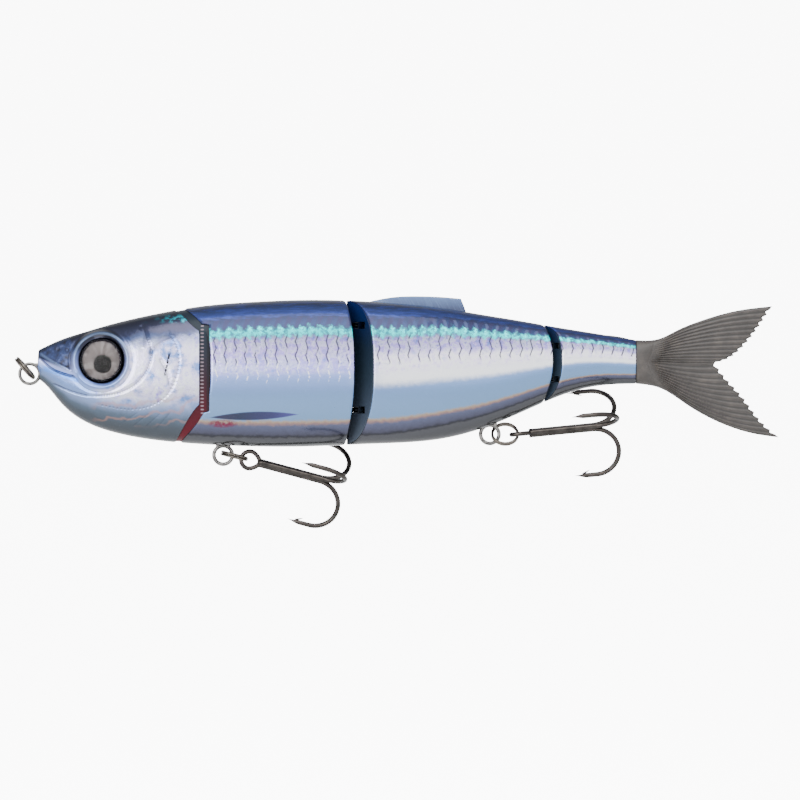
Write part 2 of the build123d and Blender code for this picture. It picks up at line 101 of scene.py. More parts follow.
EYE_TILT = 11.0
EYE_FACE_Y = 6.15


# Film response: how bright the studio light is, and the curve and colour matrices of the AgX view.
LIGHT = 2.3
WIDE = np.array([(0.6274, 0.3293, 0.0433), (0.0691, 0.9195, 0.0113), (0.0164, 0.0880, 0.8956)])
INSET = np.array([(0.8566, 0.0951, 0.0483), (0.1373, 0.7612, 0.1014), (0.1119, 0.0768, 0.8113)])
OUTSET = np.array([(1.1271, -0.1106, -0.0165), (-0.1413, 1.1578, -0.0165), (-0.1413, -0.1106, 1.2519)])
STOPS = np.linspace(0, 1, 800)
CURVE = np.polyval([15.5, -40.14, 31.96, -6.868, 0.4298, 0.1191, -0.00232], STOPS)


def srgb(red, green, blue, alpha=1.0):
    """The surface colour that shows as this display colour, 0 to 255, in the studio light."""
    shown = np.array([red, green, blue]) / 255
    linear = np.where(shown <= 0.04045, shown / 12.92, ((shown + 0.055) / 1.055) ** 2.4)
    encoded = np.linalg.solve(OUTSET, (WIDE @ linear) ** (1 / 2.2))
    stops = np.interp(encoded, CURVE, STOPS)
    scene = 2 ** (stops * 16.5 - 12.474)
    colour = np.linalg.solve(WIDE, np.linalg.solve(INSET, scene)) / LIGHT
    return (*np.clip(colour, 0.002, 0.96).tolist(), alpha)


def smooth(low, high, value):
    """0 below low, 1 above high, smooth between."""
    t = np.clip((value - low) / (high - low), 0, 1)
    return t * t * (3 - 2 * t)


def natural_spline(xs, ys):
    """A natural cubic spline through the points, as a function."""
    xs = np.asarray(xs, float)
    ys = np.asarray(ys, float)
    step = np.diff(xs)
    count = len(xs)
    matrix = np.eye(count)
    right = np.zeros(count)
    for i in range(1, count - 1):
        matrix[i, i - 1:i + 2] = step[i - 1], 2 * (step[i - 1] + step[i]), step[i]
        right[i] = 6 * ((ys[i + 1] - ys[i]) / step[i] - (ys[i] - ys[i - 1]) / step[i - 1])
    bend = np.linalg.solve(matrix, right)

    def value(x):
        x = np.clip(x, xs[0], xs[-1])
        i = np.clip(np.searchsorted(xs, x) - 1, 0, count - 2)
        gap = step[i]
        a = (xs[i + 1] - x) / gap
        b = (x - xs[i]) / gap
        curved = ((a ** 3 - a) * bend[i] + (b ** 3 - b) * bend[i + 1]) * gap ** 2 / 6
        return a * ys[i] + b * ys[i + 1] + curved

    return value


back_line = natural_spline(SECTIONS[:, 0], SECTIONS[:, 1])
belly_line = natural_spline(SECTIONS[:, 0], SECTIONS[:, 2])
width_line = natural_spline(SECTIONS[:, 0], SECTIONS[:, 3])
foil_edge_at = natural_spline(FOIL_EDGE[::-1, 1], FOIL_EDGE[::-1, 0])


# ---------------------------------------------------------------- meshes
def add_mesh(name, points, faces, smooth_shading=True):
    """A mesh object from points in millimetres."""
    mesh = bpy.data.meshes.new(name)
    mesh.from_pydata((np.asarray(points) * MM).tolist(), [], faces)
    mesh.validate()
    mesh.update()
    if smooth_shading:
        mesh.polygons.foreach_set("use_smooth", [True] * len(mesh.polygons))
    piece = bpy.data.objects.new(name, mesh)
    bpy.context.scene.collection.objects.link(piece)
    return piece


def grid_faces(rows, columns, wrap_columns, start=0, flip=False):
    """Quads of a grid of points stored row by row."""
    faces = []
    last = columns if wrap_columns else columns - 1
    for row in range(rows - 1):
        for column in range(last):
            after = (column + 1) % columns
            quad = (start + row * columns + column, start + row * columns + after,
                    start + (row + 1) * columns + after, start + (row + 1) * columns + column)
            faces.append(quad[::-1] if flip else quad)
    return faces


def give_vector(piece, name, values):
    """Store one vector per vertex for the materials."""
    attribute = piece.data.attributes.new(name, "FLOAT_VECTOR", "POINT")
    attribute.data.foreach_set("vector", np.asarray(values, np.float32).ravel())


def tube(path, radii, sides=14, closed=False):
    """Points and faces of a round wire along a path, with a radius at each point."""
    path = np.asarray(path, float)
    count = len(path)
    if closed:
        tangent = np.roll(path, -1, 0) - np.roll(path, 1, 0)
    else:
        tangent = np.gradient(path, axis=0)
    tangent /= np.linalg.norm(tangent, axis=1)[:, None]
    helper = np.array([0.0, 1.0, 0.0]) if abs(tangent[0][1]) < 0.9 else np.array([1.0, 0.0, 0.0])
    normal = np.cross(tangent[0], helper)
    normal /= np.linalg.norm(normal)
    rings = []
    for i in range(count):
        normal = normal - tangent[i] * (normal @ tangent[i])
        normal /= np.linalg.norm(normal)
        other = np.cross(tangent[i], normal)
        angles = np.linspace(0, 2 * pi, sides, endpoint=False)
        ring = path[i] + radii[i] * (np.outer(np.cos(angles), normal) + np.outer(np.sin(angles), other))
        rings.append(ring)
    points = np.concatenate(rings)
    faces = grid_faces(count, sides, True)
    if closed:
        for side in range(sides):
            after = (side + 1) % sides
            faces.append(((count - 1) * sides + side, (count - 1) * sides + after, after, side))
    else:
        faces.append(tuple(range(sides))[::-1])
        faces.append(tuple((count - 1) * sides + side for side in range(sides)))
    return points, faces


def join_parts(parts):
    """Several (points, faces) pairs as one."""
    points = []
    faces = []
    for part_points, part_faces in parts:
        base = sum(len(block) for block in points)
        points.append(part_points)
        faces.extend(tuple(base + index for index in face) for face in part_faces)
    return np.concatenate(points), faces


# ---------------------------------------------------------------- the fish's surface
AROUND = 360
ROW_STEP = 0.34


def section_loops(xs, inset):
    """Points (y, z) round the section at each x, evenly spaced, starting at the back, +Y side first."""
    dense = np.linspace(0, 2 * pi, 1441)
    up = np.cos(dense)
    out = np.sin(dense)
    shape_z = np.sign(up) * np.abs(up) ** (2 / FULLNESS)
    shape_y = np.sign(out) * np.abs(out) ** (2 / FULLNESS)
    shape_y = shape_y * (1 - KEEL * np.maximum(0, -shape_z) ** 2)
    loops_y = np.empty((len(xs), AROUND))
    loops_z = np.empty((len(xs), AROUND))
    for i, x in enumerate(xs):
        back, belly, width = back_line(x), belly_line(x), width_line(x)
        y = shape_y * (width - inset)
        z = (back + belly) / 2 + shape_z * ((back - belly) / 2 - inset)
        run = np.concatenate([[0], np.cumsum(np.hypot(np.diff(y), np.diff(z)))])
        even = np.linspace(0, run[-1], AROUND, endpoint=False)
        loops_y[i] = np.interp(even, run, y)
        loops_z[i] = np.interp(even, run, z)
    return loops_y, loops_z


TABLE_X = np.linspace(SECTIONS[0, 0], BODY_END, 420)
TABLES = {inset: section_loops(TABLE_X, inset) for inset in (0.0, SKIN)}


def on_surface(x, inset=0.0):
    """Points of the surface; x has one column per point round the section."""
    loops_y, loops_z = TABLES[inset]
    place = (np.clip(x, TABLE_X[0], TABLE_X[-1]) - TABLE_X[0]) / (TABLE_X[1] - TABLE_X[0])
    low = np.clip(place.astype(int), 0, len(TABLE_X) - 2)
    part = place - low
    column = np.broadcast_to(np.arange(AROUND), x.shape)
    y = loops_y[low, column] * (1 - part) + loops_y[low + 1, column] * part
    z = loops_z[low, column] * (1 - part) + loops_z[low + 1, column] * part
    return np.stack([x, y, z], -1)


def find_edge(rule, start):
    """x of an edge at each point round the section, where rule gives x from y and z."""
    x = np.full((1, AROUND), float(start))
    for _ in range(30):
        here = on_surface(x)
        x = 0.5 * x + 0.5 * rule(here[..., 1], here[..., 2])
    return x[0]


def socket_radius(z):
    return SOCKET_R - (z - SOCKET_MID_Z) ** 2 / SOCKET_SAG


def head_edge(y, z):
    """The gill edge: where the side of the head meets the socket."""
    radius = socket_radius(z)
    return np.minimum(HEAD_RIM, HEAD_AXIS - np.sqrt(np.maximum(radius ** 2 - y ** 2, 0)))


def hollow_edge(joint):
    """The lip of a segment's hollow rear end."""
    centre = joint["deep"] + joint["hollow"]

    def rule(y, z):
        return np.minimum(joint["lip"], centre - np.sqrt(joint["hollow"] ** 2 - y ** 2))

    return rule


def wedge_edge(joint):
    """The front edge of the foil on a wedge-nosed segment."""
    dx = joint["shoulder"][0] - joint["axis"]
    dy = joint["shoulder"][1]
    reach = np.hypot(dx, dy)
    foot = atan2(dy, dx) + np.arccos(joint["tip"] / reach)
    out_x, out_y = cos(foot), sin(foot)

    def rule(y, z):
        side = np.abs(y)
        flank = joint["axis"] + (joint["tip"] - out_y * side) / out_x
        tip = joint["axis"] - np.sqrt(np.maximum(joint["tip"] ** 2 - side ** 2, 0))
        return np.where(side > joint["tip"] * out_y, flank, tip)

    return rule


def foil_front(y, z):
    """The front edge of the front segment's foil, which stops where the barrel turns inwards."""
    radius = socket_radius(z) - BARREL_PLAY
    side = np.abs(y)
    swing = 0.1 * side * smooth(radius - 0.6, radius, side)
    barrel = HEAD_AXIS + 0.27 - np.sqrt(np.maximum(radius ** 2 - y ** 2, 0))
    return np.maximum(foil_edge_at(z) + 0.12, barrel + swing)


def print_drift(x):
    """How far the bands of the print rise on the rear of the fish, as a share of its height."""
    return 0.045 * smooth(76, 96, x)


def fish_coordinates(points):
    """(x, z, height from 0 at the belly to 1 at the back) of each point, for the print."""
    x = points[..., 0]
    z = points[..., 2]
    back, belly = back_line(x), belly_line(x)
    height = (z - belly) / (back - belly) - print_drift(x)
    return np.stack([x, z, height], -1)


def normals_of(points):
    """Outward normals of a grid that wraps round the section."""
    along = np.gradient(points, axis=0)
    around = (np.roll(points, -1, 1) - np.roll(points, 1, 1)) / 2
    normal = np.cross(along, around)
    length = np.linalg.norm(normal, axis=-1, keepdims=True)
    return normal / np.maximum(length, 1e-9)


def outward(points):
    """Normals of the grid, turned to point away from the middle line of the fish."""
    normal = normals_of(points)
    centre = points.mean(axis=1, keepdims=True)
    sign = np.sign(((points - centre) * normal)[..., 1:].sum(-1).mean())
    return normal * sign


# Scale pattern: staggered rows of overlapping scales.
SCALE_LENGTH = 2.25
SCALE_ROW = 3.1
SCALE_LEAN = 0.23


def scale_phase(x, z):
    """0 at a scale's free edge, rising to 1 at the next; the edges zigzag down the flank."""
    zigzag = np.abs(((z + 0.6) / SCALE_ROW) % 1.0 - 0.5) * 2
    return (x / SCALE_LENGTH + SCALE_LEAN * zigzag) % 1.0


def scale_relief(coordinates, points):
    """Height of the scales over the smooth flank."""
    x, z, height = coordinates[..., 0], points[..., 2], coordinates[..., 2]
    zone = smooth(0.46, 0.56, height) * (1 - smooth(0.86, 0.92, height))
    phase = scale_phase(x, z)
    ramp = np.where(phase < 0.08, phase / 0.08, 1 - 0.75 * (phase - 0.08) / 0.92)
    return 0.07 * zone * (ramp - 0.6)


def skin_piece(name, front_rule, front_start, back_rule, back_start, body, nodes, relief=scale_relief):
    """The foil of one segment: an outer face with relief, an inner face and the two rims."""
    front = find_edge(front_rule, front_start) if front_rule else np.full(AROUND, float(front_start))
    back = find_edge(back_rule, back_start) if back_rule else np.full(AROUND, float(back_start))
    rows = max(24, int((back.max() - front.min()) / ROW_STEP))
    share = np.linspace(0, 1, rows)[:, None]
    x = front[None, :] * (1 - share) + back[None, :] * share
    outer = on_surface(x)
    coordinates = fish_coordinates(outer)
    normal = outward(outer)
    edge_fade = smooth(0, 0.03, share) * (1 - smooth(0.97, 1, share))
    rounding = -0.12 * (1 - smooth(0, 0.012, share)) - 0.12 * smooth(0.988, 1, share)
    outer = outer + normal * (relief(coordinates, outer) * edge_fade + rounding)[..., None]
    inner = on_surface(x, SKIN)
    points = np.concatenate([outer.reshape(-1, 3), inner.reshape(-1, 3)])
    faces = grid_faces(rows, AROUND, True)
    base = rows * AROUND
    faces += grid_faces(rows, AROUND, True, base, flip=True)
    for column in range(AROUND):
        after = (column + 1) % AROUND
        faces.append((column, base + column, base + after, after))
        low = (rows - 1) * AROUND
        faces.append((low + after, base + low + after, base + low + column, low + column))
    piece = add_mesh(name, points, faces)
    fix_normals(piece)
    give_vector(piece, "fish", np.concatenate([coordinates.reshape(-1, 3)] * 2))
    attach(piece, body)
    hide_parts(*nodes)
    return piece


def fix_normals(piece):
    """Make the faces of a closed piece point outwards."""
    work = bmesh.new()
    work.from_mesh(piece.data)
    bmesh.ops.recalc_face_normals(work, faces=work.faces)
    work.to_mesh(piece.data)
    work.free()


# ---------------------------------------------------------------- the head
def near_curve(x, z, points):
    """Distance from each (x, z) to a smooth curve through the points, and how far along it is."""
    points = np.asarray(points, float)
    run = np.concatenate([[0], np.cumsum(np.hypot(*np.diff(points, axis=0).T))])
    fine = np.linspace(0, run[-1], 40)
    curve_x = natural_spline(run, points[:, 0])(fine)
    curve_z = natural_spline(run, points[:, 1])(fine)
    best = np.full(x.shape, 1e9)
    place = np.zeros(x.shape)
    for i, (cx, cz) in enumerate(zip(curve_x, curve_z)):
        distance = np.hypot(x - cx, z - cz)
        closer = distance < best
        best = np.where(closer, distance, best)
        place = np.where(closer, i / 39, place)
    return best, place


def groove(x, z, points, width, depth):
    """A groove along a curve, fading at its ends."""
    distance, place = near_curve(x, z, points)
    fade = smooth(0, 0.08, place) * (1 - smooth(0.9, 1, place))
    return -depth * np.exp(-(distance / width) ** 2) * (0.25 + 0.75 * fade)


MOUTH = [(2.4, 3.3), (4.6, 1.4), (7.4, 0.1), (10.3, -0.7)]
UPPER_LIP = [(2.6, 4.4), (5.2, 2.7), (8.2, 1.2), (10.6, 0.2)]
JAW = [(5.0, -2.0), (8.2, -3.4), (11.2, -4.4), (13.6, -4.9)]
CHEEK_PLATE = [(13.4, -4.9), (18.5, -4.6), (23.5, -2.6), (26.4, 0.8), (27.3, 4.6), (26.0, 8.6)]
GILL_PLATE = [(14.0, -6.3), (20.0, -7.6), (26.0, -7.4), (31.0, -4.4), (33.0, 0.0), (33.2, 5.0), (31.0, 9.4)]
BRANCHIAL = [[(20.5, -11.0), (24.5, -8.4)], [(23.0, -11.6), (27.0, -8.6)], [(25.6, -12.0), (29.4, -8.6)],
             [(28.2, -12.2), (31.6, -8.4)]]
CREASES = [[(29.0, 3.4), (30.6, 0.4), (31.4, -3.2)], [(26.6, 4.0), (29.2, 6.8), (32.2, 8.0)],
           [(25.6, 5.4), (25.8, 8.8), (24.8, 11.0)]]


def head_relief(points):
    """Mouth, nostrils, eye socket, gill plates and skull creases of the head."""
    x, y, z = points[..., 0], points[..., 1], points[..., 2]
    side = smooth(0.25, 0.6, np.abs(y) / np.maximum(width_line(x), 0.5))
    height = groove(x, z, MOUTH, 0.28, 0.42)
    height += 0.16 * np.exp(-(near_curve(x, z, UPPER_LIP)[0] / 0.55) ** 2)
    height += groove(x, z, JAW, 0.3, 0.25)
    ring = np.hypot(x - EYE[0], z - EYE[1])
    height += -0.35 * (1 - smooth(EYE_R + 0.2, EYE_R + 1.0, ring))
    height += -1.3 * (1 - smooth(EYE_R, EYE_R + 0.3, ring))
    height += 0.22 * np.exp(-((ring - EYE_R - 1.25) / 0.5) ** 2)
    height += -0.14 * np.exp(-((ring - EYE_R - 2.3) / 0.4) ** 2)
    for nx, nz, size, depth in ((6.5, 5.5, 0.42, 0.35), (8.8, 5.4, 0.3, 0.3)):
        height += -depth * np.exp(-((x - nx) ** 2 / (size * 0.6) ** 2 + (z - nz) ** 2 / size ** 2))
    for curve, step in ((CHEEK_PLATE, 0.22), (GILL_PLATE, 0.2)):
        height += groove(x, z, curve, 0.32, step)
    for curve in BRANCHIAL:
        height += groove(x, z, curve, 0.2, 0.16)
    for curve in CREASES:
        height += groove(x, z, curve, 0.6, 0.18)
    return height * side


def head_piece():
    """The head: sculpted sides, a rounded nose and the hollow socket behind."""
    back = find_edge(head_edge, 36.0)
    rows = 190
    share = np.linspace(0, 1, rows)[:, None]
    x = NOSE_X * (1 - share) + back[None, :] * share
    outer = on_surface(x)
    normal = outward(outer)
    fade = smooth(0, 0.02, share) * (1 - smooth(0.97, 1, share))
    outer = outer + normal * (head_relief(outer) * fade)[..., None]
    nose = []
    first = outer[0]
    middle = first.mean(axis=0)
    for angle in np.linspace(pi / 2, 0, 9)[:-1]:
        ring = middle + (first - middle) * cos(angle)
        ring[:, 0] = first[:, 0] - 0.3 * sin(angle)
        nose.append(ring)
    socket = []
    rim = outer[-1]
    centre = np.array([0, 0, rim[:, 2].mean()])
    for part in np.linspace(1, 0, 26):
        ring = centre + (rim - centre) * part
        ring[:, 1] *= 0.985
        radius = socket_radius(ring[:, 2])
        ring[:, 0] = HEAD_AXIS - np.sqrt(np.maximum(radius ** 2 - ring[:, 1] ** 2, 0))
        ring[:, 0] = np.minimum(ring[:, 0], HEAD_RIM)
        socket.append(ring)
    grid = np.concatenate([np.array(nose), outer, np.array(socket)])
    scoop = np.sqrt(np.maximum(TIE_SCOOP ** 2 - grid[..., 2] ** 2, 0))
    grid[..., 0] = np.maximum(grid[..., 0], scoop)
    cut = np.concatenate([np.zeros((len(nose), AROUND)), head_relief(on_surface(x)), np.zeros((26, AROUND))])
    piece = add_mesh("head_body", grid.reshape(-1, 3), grid_faces(len(grid), AROUND, True))
    fix_normals(piece)
    coordinates = fish_coordinates(grid)
    coordinates[len(nose) + rows:, :, 2] = -1.0
    give_vector(piece, "fish", coordinates)
    give_vector(piece, "relief", np.stack([cut] * 3, -1))
    merge_poles(piece)
    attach(piece, "head")
    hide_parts("head_foil_left", "head_foil_right", "head_shell_left", "head_shell_right")
    return piece


def merge_poles(piece):
    """Weld the points that fall together at the nose and in the middle of the socket."""
    work = bmesh.new()
    work.from_mesh(piece.data)
    bmesh.ops.remove_doubles(work, verts=work.verts, dist=0.004 * MM)
    bmesh.ops.recalc_face_normals(work, faces=work.faces)
    work.to_mesh(piece.data)
    work.free()


# ---------------------------------------------------------------- node helpers
class Shader:
    """A material whose nodes are written as short calls."""

    def __init__(self, name, **constants):
        self.material = bpy.data.materials.new(name)
        self.material.use_nodes = True
        self.tree = self.material.node_tree
        self.bsdf = self.tree.nodes["Principled BSDF"]
        for key, value in constants.items():
            self.bsdf.inputs[key.replace("_", " ")].default_value = value

    def put(self, socket, value):
        """Set a socket to a number, a colour or another node's output."""
        if isinstance(value, bpy.types.NodeSocket):
            self.tree.links.new(value, socket)
        else:
            socket.default_value = value

    def math(self, kind, first, second=0.0, third=0.0, clamp=False):
        node = self.tree.nodes.new("ShaderNodeMath")
        node.operation = kind
        node.use_clamp = clamp
        for socket, value in zip(node.inputs, (first, second, third)):
            self.put(socket, value)
        return node.outputs[0]

    def times(self, first, second):
        return self.math("MULTIPLY", first, second)

    def plus(self, first, second):
        return self.math("ADD", first, second)

    def minus(self, first, second):
        return self.math("SUBTRACT", first, second)

    def power(self, base, exponent):
        return self.math("POWER", base, exponent)

    def fit(self, value, factor, offset):
        """value times factor plus offset."""
        return self.math("MULTIPLY_ADD", value, factor, offset)

    def step(self, value, low, high):
        """0 below low, 1 above high, smooth between."""
        node = self.tree.nodes.new("ShaderNodeMapRange")
        node.interpolation_type = "SMOOTHSTEP"
        self.put(node.inputs["Value"], value)
        node.inputs["From Min"].default_value = low
        node.inputs["From Max"].default_value = high
        return node.outputs["Result"]

    def bump_between(self, value, low, high, soft):
        """1 between low and high, 0 outside, with soft edges."""
        rise = self.step(value, low - soft, low + soft)
        fall = self.step(value, high - soft, high + soft)
        return self.math("SUBTRACT", rise, fall, clamp=True)

    def mix(self, share, first, second, blend="MIX"):
        node = self.tree.nodes.new("ShaderNodeMix")
        node.data_type = "RGBA"
        node.blend_type = blend
        node.clamp_factor = True
        self.put(node.inputs[0], share)
        self.put(node.inputs[6], first)
        self.put(node.inputs[7], second)
        return node.outputs[2]

    def ramp(self, value, stops):
        """Colours along a value; a stop is its place and either a display colour or a ready one."""
        node = self.tree.nodes.new("ShaderNodeValToRGB")
        self.put(node.inputs[0], value)
        marks = node.color_ramp.elements
        ready = [(place, srgb(*rest) if len(rest) == 3 else rest[0]) for place, *rest in stops]
        marks[0].position, marks[0].color = ready[0]
        marks[1].position, marks[1].color = ready[-1]
        for place, colour in ready[1:-1]:
            mark = marks.new(place)
            mark.color = colour
        return node.outputs[0]

    def place(self):
        """Position in millimetres, in the row's frame."""
        node = self.tree.nodes.new("ShaderNodeTexCoord")
        scaled = self.tree.nodes.new("ShaderNodeVectorMath")
        scaled.operation = "SCALE"
        self.tree.links.new(node.outputs["Object"], scaled.inputs[0])
        scaled.inputs["Scale"].default_value = 1 / MM
        return scaled.outputs[0]

    def attribute(self, name):
        node = self.tree.nodes.new("ShaderNodeAttribute")
        node.attribute_name = name
        return node.outputs["Vector"]

    def split(self, vector):
        node = self.tree.nodes.new("ShaderNodeSeparateXYZ")
        self.tree.links.new(vector, node.inputs[0])
        return node.outputs

    def vector(self, x, y, z):
        node = self.tree.nodes.new("ShaderNodeCombineXYZ")
        for socket, value in zip(node.inputs, (x, y, z)):
            self.put(socket, value)
        return node.outputs[0]

    def noise(self, vector, scale, detail=3.0, rough=0.55):
        node = self.tree.nodes.new("ShaderNodeTexNoise")
        self.tree.links.new(vector, node.inputs["Vector"])
        node.inputs["Scale"].default_value = scale
        node.inputs["Detail"].default_value = detail
        node.inputs["Roughness"].default_value = rough
        return node.outputs[0]

    def bump(self, height, strength, distance):
        node = self.tree.nodes.new("ShaderNodeBump")
        self.put(node.inputs["Height"], height)
        node.inputs["Strength"].default_value = strength
        node.inputs["Distance"].default_value = distance * MM
        self.tree.links.new(node.outputs[0], self.bsdf.inputs["Normal"])

    def colour(self, value):
        self.put(self.bsdf.inputs["Base Color"], value)


WHITE = (1.0, 1.0, 1.0, 1.0)


# ---------------------------------------------------------------- materials
def body_print():
    """The foil of the three rear segments."""
    s = Shader("foil_print", Metallic=0.85, Roughness=0.26, Coat_Weight=0.35, Coat_Roughness=0.05)
    x, z, height = s.split(s.attribute("fish"))
    place = s.place()
    wobble = s.fit(s.noise(place, 0.9), 0.03, -0.015)
    h = s.plus(height, wobble)
    side = s.split(place)[1]
    streaks = s.noise(s.vector(s.times(x, 0.35), s.times(side, 1.6),
                               s.times(z, 2.2)), 1.0, 4.0)
    colour = s.ramp(h, [
        (0.00, 112, 114, 118),
        (0.055, 120, 122, 128),
        (0.068, 62, 64, 76),
        (0.085, 112, 116, 136),
        (0.140, 134, 142, 166),
        (0.158, 184, 164, 160),
        (0.170, 192, 182, 172),
        (0.188, 166, 188, 208),
        (0.34, 168, 190, 212),
        (0.45, 172, 190, 216),
        (0.54, 196, 204, 228),
        (0.64, 186, 188, 216),
        (0.72, 140, 156, 194),
        (0.775, 74, 114, 160),
        (0.855, 50, 80, 130),
        (0.885, 30, 56, 106),
        (0.905, 44, 86, 156),
        (0.95, 50, 86, 142),
        (1.00, 44, 62, 94),
    ])
    # A painted highlight: a bright silvery band along the rear flank.
    rear = s.step(x, 70.0, 80.0)
    band = s.times(rear, s.bump_between(h, 0.41, 0.63, 0.035))
    colour = s.mix(s.times(band, 0.85), colour, srgb(240, 242, 248))
    # Iridescent flecks over the scale zone.
    fleck = s.noise(place, 0.75, 4.0, 0.65)
    tint = s.ramp(fleck, [(0.30, 140, 176, 224), (0.45, 214, 206, 236), (0.55, 232, 236, 248),
                          (0.70, 170, 160, 214)])
    scales = s.bump_between(h, 0.50, 0.75, 0.03)
    colour = s.mix(s.times(scales, 0.35), colour, tint)
    # Turquoise teeth along the top of the flank.
    teeth = s.math("PINGPONG", s.fit(z, 0.5, x), SCALE_LENGTH / 2)
    ragged = s.fit(s.noise(place, 1.4, 3.0), 0.06, -0.03)
    stripe_height = s.plus(s.fit(teeth, 0.022, h), ragged)
    stripe = s.bump_between(stripe_height, 0.765, 0.825, 0.016)
    sparkle = s.step(s.noise(place, 1.1, 2.0), 0.36, 0.56)
    stripe = s.times(stripe, s.fit(sparkle, 0.7, 0.3))
    colour = s.mix(stripe, colour, srgb(112, 218, 218))
    # Dark violet cells above the stripe.
    cell = s.math("PINGPONG", s.fit(z, -0.4, x), SCALE_LENGTH / 2)
    upper = s.times(s.bump_between(h, 0.80, 0.885, 0.012), s.step(cell, 0.35, 0.8))
    colour = s.mix(s.times(upper, 0.55), colour, srgb(62, 62, 112))
    # Thin dark edges of the scales.
    zigzag = s.math("PINGPONG", s.plus(z, 0.6), SCALE_ROW / 2)
    slant = s.times(zigzag, 2 * SCALE_LEAN / SCALE_ROW)
    jitter = s.fit(s.noise(place, 0.6, 2.0), 0.16, -0.08)
    phase = s.plus(s.plus(s.math("DIVIDE", x, SCALE_LENGTH), slant), jitter)
    phase = s.math("FRACT", phase)
    line = s.minus(1.0, s.step(s.math("ABSOLUTE", s.minus(phase, 0.5)), 0.03, 0.11))
    line = s.times(line, s.bump_between(h, 0.565, 0.765, 0.02))
    line = s.times(line, s.step(s.noise(place, 0.5, 1.0), 0.28, 0.44))
    colour = s.mix(s.times(line, 0.9), colour, srgb(70, 74, 116))
    # Bright glints on the lower scales.
    glint = s.minus(1.0, s.step(s.math("ABSOLUTE", s.minus(phase, 0.66)), 0.02, 0.1))
    glint = s.times(glint, s.bump_between(h, 0.455, 0.60, 0.03))
    colour = s.mix(s.times(glint, s.step(s.noise(place, 1.6, 2.0), 0.4, 0.6)), colour, srgb(238, 242, 252))
    # Streaks along the back.
    back = s.step(h, 0.87, 0.90)
    colour = s.mix(s.times(back, s.step(streaks, 0.42, 0.62)), colour, srgb(66, 104, 172))
    # The printed pectoral fin, a slim violet lens with a red blush under its root.
    along = s.math("DIVIDE", s.minus(x, 50.0), 10.2)
    bow = s.minus(1.0, s.power(s.math("ABSOLUTE", along), 2.0))
    across = s.math("ABSOLUTE", s.plus(s.fit(along, -0.35, z), 9.3))
    lens = s.step(s.minus(s.times(bow, 1.0), across), -0.05, 0.25)
    shade = s.ramp(s.fit(along, 0.5, 0.5), [(0.0, 70, 24, 78), (0.35, 38, 28, 72),
                                                             (0.7, 72, 62, 132), (1.0, 120, 124, 188)])
    colour = s.mix(s.times(lens, 0.9), colour, shade)
    blush_x = s.power(s.math("DIVIDE", s.minus(x, 43.0), 3.4), 2.0)
    blush_z = s.power(s.math("DIVIDE", s.plus(z, 11.0), 0.95), 2.0)
    blush = s.step(s.plus(blush_x, blush_z), 1.3, 0.2)
    blush = s.times(blush, s.step(s.noise(place, 1.2, 3.0), 0.3, 0.6))
    colour = s.mix(s.times(blush, 0.9), colour, srgb(164, 44, 92))
    s.colour(colour)
    grain = s.noise(place, 2.6, 3.0)
    s.put(s.bsdf.inputs["Roughness"], s.fit(grain, 0.16, 0.16))
    s.bump(s.plus(s.times(s.noise(place, 1.7, 4.0), scales), s.times(phase, 0.2)),
           0.35, 0.12)
    return s.material


